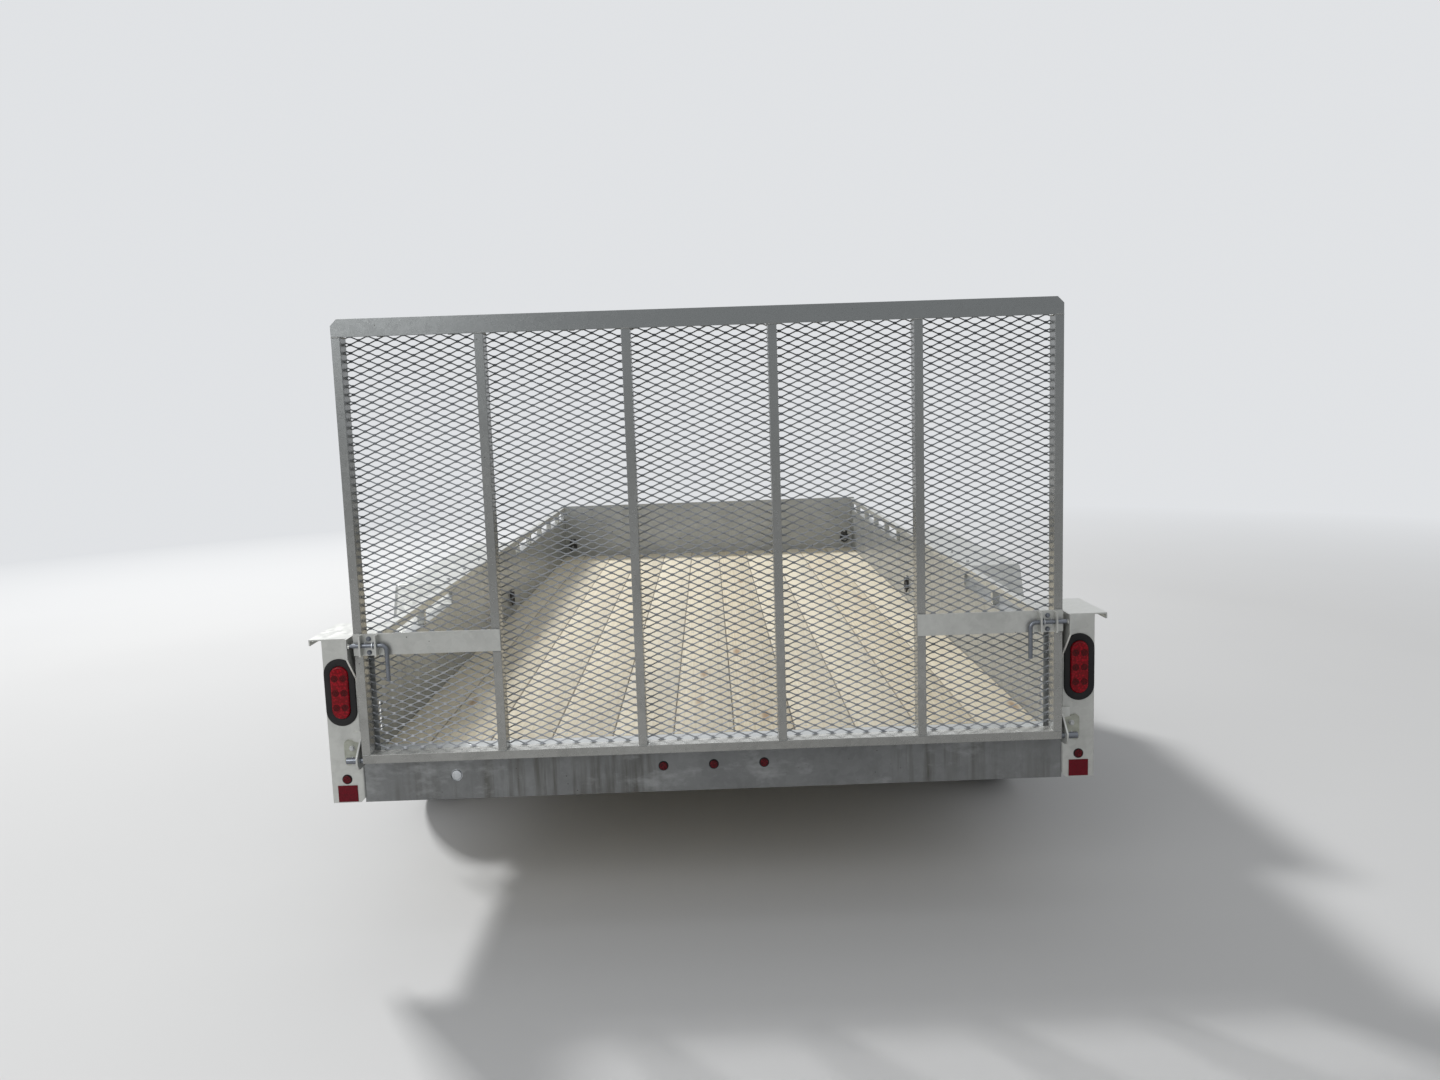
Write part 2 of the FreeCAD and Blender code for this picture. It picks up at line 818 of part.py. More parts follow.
def fender_outline(inset, low):
    """The fender's side view, moved inwards by an inset and closed below at a drop."""
    slope = fender_splay / fender_drop
    shift = inset * math.hypot(1.0, slope)
    corners = [(fender_half + slope * drop - shift, drop) for drop in (inset, low)]
    rear = [(axle_group_y - reach, rail_top - drop) for reach, drop in corners[::-1]]
    return rear + [(axle_group_y + reach, rail_top - drop) for reach, drop in corners]


def fender_block(inset, low):
    """The solid inside a rounded outer surface of the fender, inset from its own."""
    side_x = fender_out - inset
    edge_bend = fender_edge_bend - inset
    block = prism_x(fender_outline(inset, low), half_bed + sheet - inset, side_x)
    above = rail_top - low + 1
    outer = [e for e in block.Edges if e.BoundBox.XMin > side_x - 0.1 and e.BoundBox.ZMax > above]
    block = block.makeFillet(edge_bend, outer)
    top_z = rail_top - inset
    folds = [e for e in block.Edges if e.BoundBox.XMax - e.BoundBox.XMin > edge_bend / 2
             and e.BoundBox.ZMin > top_z - edge_bend - 0.1
             and e.BoundBox.YMax - e.BoundBox.YMin < edge_bend]
    return block.makeFillet(fender_fold_bend - inset, folds)


def fender():
    """Right fender: a folded top with sloping ends and a skirt along its outer edge."""
    below = fender_drop + fender_skirt
    shell = fender_block(0.0, fender_drop).cut(fender_block(fender_sheet, below))
    under_skirt = prism_x(fender_outline(fender_skirt, below), half_bed, fender_out + 1)
    rail_room = box(half_bed - 1, half_bed + rail_size, 0, bed_length,
                    rail_low, rail_top + 1)
    return shell.cut([under_skirt, rail_room])


# Running gear

def leaf(half_length, radius, y_mid, z_mid):
    """One curved leaf, low in the middle, given by its inner radius."""
    angle = half_length / radius
    top = z_mid + radius
    points = []
    for r in (radius, radius + leaf_thick):
        points.append([V(0, y_mid + r * math.sin(a), top - r * math.cos(a))
                       for a in (-angle, 0, angle)])
    inner, outer = points
    wire = Part.Wire([
        Part.Arc(*inner).toShape(), Part.LineSegment(inner[2], outer[2]).toShape(),
        Part.Arc(*outer[::-1]).toShape(), Part.LineSegment(outer[0], inner[0]).toShape(),
    ])
    face = Part.Face(wire)
    face.translate(V(spring_in, 0, 0))
    return face.extrude(V(spring_width, 0, 0))


def leaf_spring(axle_y):
    """Pack of leaves under an axle tube, with an eye at each end of the longest."""
    half = leaf_half_lengths[0]
    low = eye_z - spring_sag
    radius = (half ** 2 + spring_sag ** 2) / (2 * spring_sag)
    pieces = []
    for i, length in enumerate(leaf_half_lengths):
        pieces.append(leaf(length, radius + i * leaf_thick, axle_y, low - i * leaf_thick))
    holes = []
    for s in (-1, 1):
        y = axle_y + s * half
        ends = [(x, y, bolt_z) for x in (spring_in, spring_out)]
        pieces.append(rod(ends[0], ends[1], eye_r))
        holes.append(rod(ends[0], ends[1], eye_bolt_r + fit_gap))
    return fuse(pieces).cut(holes)


def axle_places():
    """Name and place of each axle."""
    return (("rear", axle_group_y - axle_spacing / 2), ("front", axle_group_y + axle_spacing / 2))


def leaf_springs():
    return group(sum([both(leaf_spring(y)) for _, y in axle_places()], []))


def eye_places():
    """Forward distance of the outer hangers and of the equalizer's ends."""
    reach = axle_spacing / 2 + leaf_half_lengths[0]
    inner = axle_spacing / 2 - leaf_half_lengths[0]
    return reach, inner


def hanger(y):
    """Pair of plates under a rail, joined by a bolt."""
    x_in = spring_in - hanger_side_gap - hanger_thick
    x_out = spring_out + hanger_side_gap + hanger_thick
    y0 = y - hanger_length / 2
    y1 = y + hanger_length / 2
    top = box(x_in, x_out, y0, y1, frame_bottom - hanger_thick, frame_bottom)
    plates = [box(x0, x0 + hanger_thick, y0, y1, eye_z - hanger_below_eye,
                  frame_bottom - hanger_thick) for x0 in (x_in, x_out - hanger_thick)]
    bolt = rod((x_in - hanger_bolt_end, y, bolt_z), (x_out + hanger_bolt_end, y, bolt_z),
               eye_bolt_r)
    return fuse([top] + plates + [bolt])


def spring_hangers():
    """Front, middle and rear hangers under each rail."""
    reach, _ = eye_places()
    places = (axle_group_y - reach, axle_group_y, axle_group_y + reach)
    return group(sum([both(hanger(y)) for y in places], []))


def equalizers():
    """Rocking bars between the springs, with the bolts that hold the inner eyes."""
    _, inner = eye_places()
    y = axle_group_y
    z = bolt_z
    end = inner + equalizer_lap
    half = equalizer_half
    rise = equalizer_rise
    x0 = spring_in - hanger_thick
    x1 = spring_out + hanger_thick
    outline = [(y - end, z - half), (y + end, z - half), (y + end, z + half),
               (y + rise, z + rise), (y - rise, z + rise), (y - end, z + half)]
    bars = [prism_x(outline, x0, spring_in), prism_x(outline, spring_out, x1)]
    middle = rod((x0, y, z), (x1, y, z), eye_r)
    bolt_in = x0 - equalizer_bolt_end
    bolt_out = x1 + equalizer_bolt_end
    bolts = [rod((bolt_in, y + s * inner, z), (bolt_out, y + s * inner, z), eye_bolt_r)
             for s in (-1, 1)]
    hole = rod((x0 - 1, y, z), (x1 + 1, y, z), eye_bolt_r + fit_gap)
    return group(both(fuse(bars + [middle] + bolts).cut(hole)))


def hub_faces():
    """Sideways places of the backing plate, the drum and the disc of the wheel."""
    disc_in = wheel_x + disc_x
    drum_in = disc_in - drum_width
    plate_out = drum_in - running_gap
    return disc_in, drum_in, plate_out


def axle(y):
    """Axle tube with its seats, brake backing plates and spindles."""
    z = tyre_r
    disc_in, drum_in, plate_out = hub_faces()
    tube = rod((-plate_out, y, z), (plate_out, y, z), axle_r)
    bore = rod((drum_r - plate_out, y, z), (plate_out - drum_r, y, z), axle_r - axle_wall)
    pieces = [tube.cut(bore)]
    for s in (-1, 1):
        pieces.append(rod((s * plate_out, y, z), (s * (plate_out - backing_thick), y, z),
                          backing_r))
        pieces.append(rod((s * plate_out, y, z), (s * (disc_in + spindle_past_disc), y, z),
                          spindle_r))
        x = s * spring_x
        pieces.append(box(x - spring_width / 2, x + spring_width / 2, y - seat_half,
                          y + seat_half, eye_z - spring_sag + seat_gap, z - axle_r / 3))
    return fuse(pieces)


def spring_clamps():
    """Bent rods over each axle tube and the plates under the springs."""
    low = eye_z - spring_sag - len(leaf_half_lengths) * leaf_thick
    plate_low = low - clamp_plate
    r = clamp_rod_r
    over = tyre_r + axle_r + fit_gap
    clamps = []
    for _, y in axle_places():
        plate = box(spring_in - clamp_plate_lap, spring_out + clamp_plate_lap,
                    y - clamp_length / 2, y + clamp_length / 2, plate_low, low)
        rods = [plate]
        for x in (spring_in - clamp_side_gap - r, spring_out + clamp_side_gap + r):
            for ry in (y - axle_r - r - fit_gap, y + axle_r + r + fit_gap):
                rods.append(rod((x, ry, plate_low - clamp_rod_end), (x, ry, over + r), r))
            rods.append(box(x - r, x + r, y - axle_r - 2 * r, y + axle_r + 2 * r,
                            over, over + 2 * r))
        clamps.extend(both(fuse(rods)))
    return group(clamps)


def revolved(profile, y, side):
    """A ring from a profile of sideways place and radius, about an axle's line."""
    corners = [V(x, 0, r) for x, r in profile]
    face = Part.Face(Part.makePolygon(corners + corners[:1]))
    ring = face.revolve(V(0, 0, 0), V(1, 0, 0), 360)
    ring.translate(V(0, y, tyre_r))
    return ring if side > 0 else mirrored(ring)


def many_sided(profile, y, side):
    """A ring of flat faces from a profile of sideways place and radius, about an axle's line."""
    turns = [2 * math.pi * i / tyre_sides for i in range(tyre_sides)]
    rings = [[V(side * x, y + r * math.cos(a), tyre_r + r * math.sin(a)) for x, r in profile]
             for a in turns]
    faces = []
    for near, far in zip(rings, rings[1:] + rings[:1]):
        for i in range(len(profile)):
            corners = [near[i - 1], near[i], far[i], far[i - 1]]
            faces.append(Part.Face(Part.makePolygon(corners + corners[:1])))
    shell = Part.makeShell(faces)
    shell.sewShape()
    solid = Part.makeSolid(shell)
    return solid if solid.Volume > 0 else solid.reversed()


def tyre(y, side):
    """Hollow tyre with rounded shoulders and its beads on the rim, in few flat faces."""
    w = tyre_width / 2
    bead_x = rim_width / 2 - rim_sheet - 1.0
    bead = (rim_r + fit_gap) / math.cos(math.pi / tyre_sides)
    outer = [
        # sideways place from the wheel's middle, radius
        (bead_x, bead), (bead_x, bead + 14.0), (w - 8.0, rim_r + 44.0),
        (w, rim_r + 84.0), (w - 4.0, tyre_r - 32.0), (w - 18.0, tyre_r - 9.0),
        (w - 40.0, tyre_r),
    ]
    inner = [
        (w - 44.0, tyre_r - 1.6 * tyre_wall), (w - tyre_wall, rim_r + 84.0),
        (bead_x - tyre_wall, bead),
    ]
    loop = outer + [(-x, r) for x, r in outer[::-1] + inner[::-1]] + inner
    return many_sided([(wheel_x + x, r) for x, r in loop], y, side)


def wheel(y, side):
    """Steel wheel with its brake drum, hub and nuts, all turning together."""
    h = rim_width / 2
    t = rim_sheet
    well = rim_r - rim_well
    seat = h - rim_seat
    low = seat - rim_slope
    barrel = [
        # sideways place from the wheel's middle, radius
        (-h, rim_lip_r), (-h + t, rim_lip_r), (-h + t, rim_r), (-seat, rim_r),
        (-low, well), (low, well), (seat, rim_r), (h - t, rim_r),
        (h - t, rim_lip_r), (h, rim_lip_r), (h, rim_r - t), (seat, rim_r - t),
        (low - 2.0, well - t), (2.0 - low, well - t), (-seat, rim_r - t), (-h, rim_r - t),
    ]
    disc_in, drum_in, _ = hub_faces()
    disc_out = disc_in + disc_thick
    bore = spindle_r + spindle_gap
    ring = revolved([(wheel_x + x, r) for x, r in barrel], y, 1)
    disc = revolved([
        (disc_in, hub_r), (disc_out, hub_r), (disc_out, 92.0), (disc_out - disc_dish, 130.0),
        (disc_out - disc_dish, well - t), (disc_in - disc_dish, well - t),
        (disc_in - disc_dish, 128.0), (disc_in, 90.0),
    ], y, 1)
    hub_in = disc_in - hub_depth
    drum = revolved([
        (drum_in, drum_r - drum_wall), (drum_in, drum_r), (disc_in - 18.0, drum_r),
        (disc_in - 6.0, 84.0), (disc_in, 80.0), (disc_in, bore), (hub_in, bore),
        (hub_in, hub_r), (disc_in - 12.0, hub_r), (disc_in - 22.0, drum_r - drum_wall),
    ], y, 1)
    cap_end = disc_in + hub_cap_length
    cap = revolved([
        (disc_in, bore), (disc_in, hub_r), (disc_in + 14.0, hub_r),
        (disc_in + 18.0, hub_r - 6.0), (cap_end - 6.0, hub_r - 8.0), (cap_end, hub_r - 14.0),
        (cap_end, 0.0), (cap_end - 5.0, 0.0), (cap_end - 5.0, bore),
    ], y, 1)
    holes = [rod((disc_in - disc_dish - 1, *place), (disc_out, *place), hand_hole_r)
             for place in ring_places(y, hand_hole_circle, hand_hole_count)]
    studs = [rod((disc_in, *place), (disc_out + stud_height, *place), stud_r)
             for place in ring_places(y, stud_circle, stud_count)]
    body = fuse([ring, disc.cut(holes), drum, cap] + studs)
    return body if side > 0 else mirrored(body)


def ring_places(y, radius, count):
    """Points spread evenly round an axle's line, the first at the top."""
    turns = [2 * math.pi * i / count + math.pi / 2 for i in range(count)]
    return [(y + radius * math.cos(a), tyre_r + radius * math.sin(a)) for a in turns]


# Tongue, coupler and jack

def tongue_inner(y):
    """Half width between the legs of the A-frame at a forward distance."""
    share = (apex_y - y) / (tongue_reach + tongue_back)
    return tongue_apex_half + (tongue_back_half - tongue_apex_half) * share


def tongue_plate(y0, y1, z0, z1):
    """A plate across both legs of the A-frame."""
    back = tongue_inner(y0) + tongue_plate_lap
    front = tongue_inner(y1) + tongue_plate_lap
    return prism_z([(-back, y0), (back, y0), (front, y1), (-front, y1)], z0, z1)


def tongue_rail():
    """Right leg of the A-frame: a channel under the frame, open inwards."""
    start = V(tongue_back_half, bed_length - tongue_back, tongue_low)
    end = V(tongue_apex_half, apex_y, tongue_low)
    along = end - start
    length = along.Length
    h, f, t = tongue_height, tongue_flange, tongue_thick
    block = Part.makeBox(f, length, h)
    block = block.cut(Part.makeBox(f - t, length, h - 2 * t, V(0, 0, t)))
    angle = math.degrees(math.atan2(-along.x, along.y))
    block.rotate(V(0, 0, 0), V(0, 0, 1), angle)
    block.translate(start)
    centre_cut = box(-bed_width, 0.0, 0, nose_y + tongue_cut_margin, 0, rail_top)
    nose_cut = box(-bed_width, bed_width, apex_y, nose_y + tongue_cut_margin, 0, rail_top)
    return block.cut([centre_cut, nose_cut])


def coupler():
    """Pressed coupler on top of the A-frame, with the socket for a ball under its nose."""
    z0 = tongue_top
    z1 = tongue_top + coupler_height
    y0 = nose_y - coupler_length
    half = coupler_half
    inner = half - coupler_shell
    top_start = y0 + coupler_top_start
    tail_top = z0 + coupler_tail_height
    nose_low = z0 + coupler_ball_rise - 8.0
    body = prism_x([
        (y0, z0), (nose_y - coupler_nose_r, z0), (nose_y, nose_low), (nose_y, z1 - 18.0),
        (nose_y - 16.0, z1), (top_start, z1), (y0, tail_top)], -half, half)
    upright = [e for e in body.Edges if e.BoundBox.XLength < fit_gap
               and e.BoundBox.YMin > nose_y - coupler_nose_r - 1.0
               and e.BoundBox.ZLength > coupler_height / 3]
    body = body.makeFillet(coupler_nose_r, upright)
    ball_room = coupler_ball_r + coupler_gap
    socket = Part.makeSphere(ball_room, V(0, ball_y, ball_z))
    mouth = rod((0, ball_y, z0 - 1), (0, ball_y, ball_z), ball_room)
    hollow_end = ball_y - ball_room - coupler_shell
    hollow = prism_x([(y0 - 1, z0 - 1), (hollow_end, z0 - 1), (hollow_end, z1 - coupler_shell),
                      (top_start, z1 - coupler_shell), (y0 - 1, tail_top - coupler_shell)],
                     -inner, inner)
    shell = body.cut([socket, mouth, hollow])
    plate_back = y0 + coupler_plate_gap
    plate = tongue_plate(plate_back, apex_y, z0, z0 + coupler_plate_thick)
    slot = box(-inner, inner, plate_back - 1, hollow_end, z0 - 1, z0 + coupler_plate_thick + 1)
    body = fuse([shell, lever(top_start, z1), plate.cut([slot])])
    return body.cut([socket, mouth])


def lever(y, z):
    """Latch lever lying along the top of the coupler, its tail reaching backwards."""
    front = y + lever_length
    tail = y - lever_back
    outline = [(y, z), (front, z), (front - lever_step / 2, z + lever_step),
               (y - 4.0, z + lever_high), (tail, z + lever_high - 2.0), (tail + 2.0, z + lever_low)]
    return prism_x(outline, -lever_half, lever_half)


def chain_plate():
    """Plate under the A-frame with an eye on each side for the safety chains."""
    y = apex_y - chain_eye_back
    half = chain_plate_half
    z0 = tongue_low - chain_plate_thick
    back, side, front = chain_plate_ends
    nose = half - chain_plate_corner
    plate = prism_z([(-half, y - back), (half, y - back), (half, y + side), (nose, y + front),
                     (-nose, y + front), (-half, y + side)], z0, tongue_low)
    eye_x = half - chain_eye_edge
    eyes = [rod((x, y, z0 - 1), (x, y, tongue_low + 1), chain_eye_r) for x in (-eye_x, eye_x)]
    return plate.cut(eyes)


def jack_rod(z0, z1, radius):
    """A round upright on the jack's line."""
    return rod((0, jack_y, z0), (0, jack_y, z1), radius)


def jack_body():
    """Outer tube of the jack, with its head and the plate across the A-frame."""
    z0 = tongue_top
    plate = tongue_plate(jack_y - jack_plate_length / 2, jack_y + jack_plate_length / 2,
                         z0, z0 + jack_plate_thick)
    tube = jack_rod(jack_tube_low, jack_tube_top, jack_tube_r)
    head_top = jack_tube_top + jack_head_height
    head = jack_rod(jack_tube_top, head_top, jack_head_r)
    rim = [e for e in head.Edges if e.BoundBox.ZMin > head_top - 0.01]
    head = head.makeFillet(jack_head_round, rim)
    bore = jack_rod(jack_tube_low - 1, jack_tube_top - jack_tube_end_gap,
                    jack_tube_r - jack_tube_wall)
    return fuse([plate, tube, head]).cut(bore)


def jack_crank():
    """Crank on top of the jack: a flat arm with an upright grip."""
    head_top = jack_tube_top + jack_head_height
    top = head_top + jack_crank_rise
    stem = jack_rod(head_top, top, jack_crank_r + 3.0)
    arm = box(-jack_crank_r, jack_crank_r, jack_y - jack_crank_arm, jack_y + 14.0,
              top - 8.0, top)
    grip_y = jack_y - jack_crank_arm + jack_grip_inset
    grip = rod((0, grip_y, top), (0, grip_y, top + jack_grip_length), jack_grip_r)
    return fuse([stem, arm, grip])


def jack_leg():
    """Inner tube of the jack with its foot on the ground."""
    thick = jack_foot_thick
    leg_top = jack_tube_top - jack_travel - jack_leg_top_gap
    leg = jack_rod(thick, leg_top, jack_leg_r)
    half = jack_foot_half
    c = half - jack_foot_corner
    foot = prism_z([(x, jack_y + y) for x, y in (
        (-c, -half), (c, -half), (half, -c), (half, c),
        (c, half), (-c, half), (-half, c), (-half, -c))], 0, thick)
    collar = Part.makeCone(jack_leg_r + jack_collar_lap, jack_leg_r, jack_collar_height,
                           V(0, jack_y, thick))
    return fuse([leg, foot, collar])


def build():
    """Every node by name."""
    nodes = {
        "deck_boards": deck_boards(),
        "crossmembers": crossmembers(),
        "front_crossmember": front_crossmember(),
        "rear_crossmember": rear_crossmember(),
        "front_wall": front_wall(),
        "lamp_grommets": lamp_grommets(),
        "lamp_lenses": lamp_lenses(),
        "marker_lamps": marker_lamps(),
        "reflectors": reflectors(),
        "side_markers": side_markers(),
        "tie_downs": tie_downs(),
        "gate_frame": gate_frame(),
        "gate_mesh": gate_mesh(),
        "gate_braces": gate_braces(),
        "latch_pins": latch_pins(),
        "hinge_pins": hinge_pins(),
        "leaf_springs": leaf_springs(),
        "spring_hangers": spring_hangers(),
        "equalizers": equalizers(),
        "spring_clamps": spring_clamps(),
        "coupler": coupler(),
        "chain_plate": chain_plate(),
        "jack_body": jack_body(),
        "jack_crank": jack_crank(),
        "jack_leg": jack_leg(),
    }
    sided = {
        "frame_rail": frame_rail, "side_panel": side_panel, "top_rail": top_rail,
        "rear_post": rear_post, "fender": fender, "tongue_rail": tongue_rail,
    }
    for name, maker in sided.items():
        right = maker()
        nodes[name + "_right"] = right
        nodes[name + "_left"] = mirrored(right)
    for place, y in axle_places():
        nodes["axle_" + place] = axle(y)
        for side_name, side in (("left", -1), ("right", 1)):
            nodes["tyre_" + place + "_" + side_name] = tyre(y, side)
            nodes["wheel_" + place + "_" + side_name] = wheel(y, side)
    return nodes


def export(nodes):
    """Move each node so that the origin is under the middle, and write it."""
    os.makedirs("parts", exist_ok=True)
    for name, shape in nodes.items():
        moved = shape.copy()
        moved.translate(V(0, -middle_y, 0))
        moved.exportStep("parts/" + name + ".step")


if __name__ == "__main__":
    export(build())
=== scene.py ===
"""Looks of the tandem axle utility trailer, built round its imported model."""

import math
import random

import bmesh
import bpy
from mathutils import Matrix, Vector


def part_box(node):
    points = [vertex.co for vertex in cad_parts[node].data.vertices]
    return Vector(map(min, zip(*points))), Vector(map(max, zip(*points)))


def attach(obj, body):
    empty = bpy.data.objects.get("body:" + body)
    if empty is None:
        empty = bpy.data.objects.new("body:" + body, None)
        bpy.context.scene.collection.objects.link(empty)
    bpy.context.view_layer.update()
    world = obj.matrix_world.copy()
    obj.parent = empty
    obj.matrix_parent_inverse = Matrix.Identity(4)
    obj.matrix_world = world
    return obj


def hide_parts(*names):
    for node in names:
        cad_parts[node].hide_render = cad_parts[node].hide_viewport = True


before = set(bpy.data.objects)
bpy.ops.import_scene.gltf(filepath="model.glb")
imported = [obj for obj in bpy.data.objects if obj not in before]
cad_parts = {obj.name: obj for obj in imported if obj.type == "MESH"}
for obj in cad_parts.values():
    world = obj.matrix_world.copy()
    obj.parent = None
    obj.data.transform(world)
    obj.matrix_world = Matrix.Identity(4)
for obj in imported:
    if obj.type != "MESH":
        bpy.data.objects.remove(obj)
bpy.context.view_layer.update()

# Shapes are laid out in millimetres from the rear face of the posts, as the part is:
# +Y forwards, +X to the right seen from behind, +Z up from the ground.
MM = 0.001
FACE_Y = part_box("rear_crossmember")[0].y
UP = (0, 0, 1)
DOWN = (0, 0, -1)
BACK = (0, -1, 0)
SIDES = ((-1, "left"), (1, "right"))

# Bed, boards, walls and top rails
HALF_BED = 991.0
BED_LENGTH = 4267.0
DECK_TOP = 565.0
BOARD_LOW = 527.0
BOARD_WIDTH = 183.0
BOARD_PITCH = 185.0
WALL_TOP = 833.0
RAIL_LOW = 882.0
RAIL_TOP = 907.0
STAKES = (206.0, 582.3, 2463.8, 2840.1, 3216.4, 3592.7, 3969.0)
WHEEL_BOX = (980.0, 2360.0)
RING_Y = 2160.0
RING_Z = 657.0
FENDER_BOLTS = (1110.0, 1390.0, 1670.0, 1950.0, 2230.0)

# Rear posts
POST_IN = 1045.0
POST_MID = 1096.0
LAMP_Z = 746.0
# Box round the keeper's inner face, which gets the painted light.
KEEPER_BOX = ((1030.0, -70.0, 757.0), (1044.9, -0.5, 903.0))

# Gate
GATE_HALF = 1026.0
GATE_LOW = 545.0
GATE_TOP = 1824.0
GATE_REAR = -61.0
GATE_FRONT = -11.0
GATE_BAYS = 5
TUBE_HALF = 12.5
LATCH_Z = 901.0
LATCH_PIN_Y = -79.0
HINGE_Y = -50.0
HINGE_Z = 553.0

# Running gear
AXLES = (1245.0, 2095.0)
WHEEL_X = 1112.0
WHEEL_R = 345.0
SPRING_X = 966.0
HANGERS = (915.0, 1670.0, 2425.0)
LUG_RADIUS = 57.15

# Tongue
JACK_Y = 5157.0
APEX_Y = 5487.0
APEX_HALF = 34.0
LEG_RUN = 1840.0
LEG_SPREAD = 606.0

# The photograph's camera: place in millimetres, turns in radians, sizes in pixels
CAMERA_AT = (13.4, -3089.8, 1535.0)
CAMERA_YAW = 0.0088
CAMERA_PITCH = 0.1202
CAMERA_ROLL = 0.0331
FOCAL_PIXELS = 1065.5
PHOTO_PIXELS = 1440.0
SENSOR_WIDTH = 36.0

BACKDROP = (0.75, 0.765, 0.785, 1.0)
ROAD_DUST = (0.30, 0.28, 0.25)
TYRE_DUST = (0.20, 0.19, 0.175)
DROSS = (0.05, 0.045, 0.04)

rng = random.Random(11)


def place(p):
    """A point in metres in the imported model's frame, from millimetres."""
    return Vector((p[0] * MM, p[1] * MM + FACE_Y, p[2] * MM))


def around(count, start=0.0):
    """Angles spread evenly over a full turn."""
    return [start + 2 * math.pi * i / count for i in range(count)]


def each_side(*makers):
    """Calls the makers for the left, then for the right."""
    for side, word in SIDES:
        for make in makers:
            make(side, word)


# Materials

def sockets(tree, kind, **inputs):
    """A shader node with its inputs set or linked by name."""
    node = tree.nodes.new(kind)
    for name, value in inputs.items():
        key = name.replace("_", " ")
        if isinstance(value, bpy.types.NodeSocket):
            tree.links.new(value, node.inputs[key])
        else:
            node.inputs[key].default_value = value
    return node


def blended(tree, share, a, b):
    """Two shaders mixed by a share."""
    node = tree.nodes.new("ShaderNodeMixShader")
    for slot, socket in zip(node.inputs, (share, a, b)):
        tree.links.new(socket, slot)
    return node.outputs[0]


def toned(colour, factor):
    """A colour made darker or paler, kept under full white."""
    return tuple(min(1.0, c * factor) for c in colour)


class Look:
    """One procedural material, with the few node patterns that the materials share."""

    def __init__(self, name, **constants):
        self.material = bpy.data.materials.new(name)
        self.material.use_nodes = True
        self.tree = self.material.node_tree
        self.shader = self.tree.nodes["Principled BSDF"]
        for key, value in constants.items():
            self.shader.inputs[key.replace("_", " ")].default_value = value
        self.where = self.tree.nodes.new("ShaderNodeTexCoord").outputs["Object"]

    def scaled(self, x, y, z, shift=(0.0, 0.0, 0.0)):
        """The piece's coordinates, stretched along each axis."""
        node = sockets(self.tree, "ShaderNodeMapping", Vector=self.where,
                       Scale=(x, y, z), Location=shift)
        return node.outputs["Vector"]

    def noise(self, scale, detail, rough=0.55, vector=None, distortion=0.0):
        """Clouds of one size, with finer ones on them."""
        node = sockets(self.tree, "ShaderNodeTexNoise", Scale=scale, Detail=detail,
                       Roughness=rough, Distortion=distortion,
                       Vector=self.where if vector is None else vector)
        return node.outputs["Fac"]

    def cells(self, scale, vector=None, output="Color"):
        """Crystals of one size, each with its own tone or its distance field."""
        node = sockets(self.tree, "ShaderNodeTexVoronoi", Scale=scale,
                       Vector=self.where if vector is None else vector)
        return node.outputs[output]

    def split(self, vector):
        """The three coordinates of a vector."""
        return tuple(sockets(self.tree, "ShaderNodeSeparateXYZ", Vector=vector).outputs)

    def upward(self):
        """How far a face looks up, in the piece's own frame."""
        coords = self.tree.nodes.new("ShaderNodeTexCoord")
        return self.split(coords.outputs["Normal"])[2]

    def spread(self, value, low, high, to_low=0.0, to_high=1.0):
        """The value mapped from one span onto another, kept inside it."""
        node = sockets(self.tree, "ShaderNodeMapRange", Value=value, From_Min=low, From_Max=high,
                       To_Min=to_low, To_Max=to_high)
        return node.outputs["Result"]

    def feed(self, slot, value):
        """Gives an input a socket, a number or a colour."""
        if isinstance(value, bpy.types.NodeSocket):
            self.tree.links.new(value, slot)
        elif isinstance(value, float):
            slot.default_value = value
        else:
            slot.default_value = (*value, 1.0)

    def math(self, operation, a, b=0.0):
        """Arithmetic on one or two values."""
        node = self.tree.nodes.new("ShaderNodeMath")
        node.operation = operation
        self.feed(node.inputs[0], a)
        self.feed(node.inputs[1], b)
        return node.outputs["Value"]

    def mix(self, factor, a, b):
        """One colour passing into another."""
        node = self.tree.nodes.new("ShaderNodeMix")
        node.data_type = "RGBA"
        for index, value in ((0, factor), (6, a), (7, b)):
            self.feed(node.inputs[index], value)
        return node.outputs[2]

    def over(self, colour, mask, share, top):
        """A colour laid over another where a mask says so, by a share."""
        return self.mix(self.math("MULTIPLY", mask, share), colour, top)

    def colour(self, socket):
        """Sets what the surface's colour comes from."""
        self.tree.links.new(socket, self.shader.inputs["Base Color"])

    def rough(self, socket):
        """Sets what the surface's roughness comes from."""
        self.tree.links.new(socket, self.shader.inputs["Roughness"])

    def bump(self, height, strength, distance):
        """Fine relief, with its depth in metres."""
        node = sockets(self.tree, "ShaderNodeBump", Height=height, Strength=strength,
                       Distance=distance)
        self.tree.links.new(node.outputs["Normal"], self.shader.inputs["Normal"])


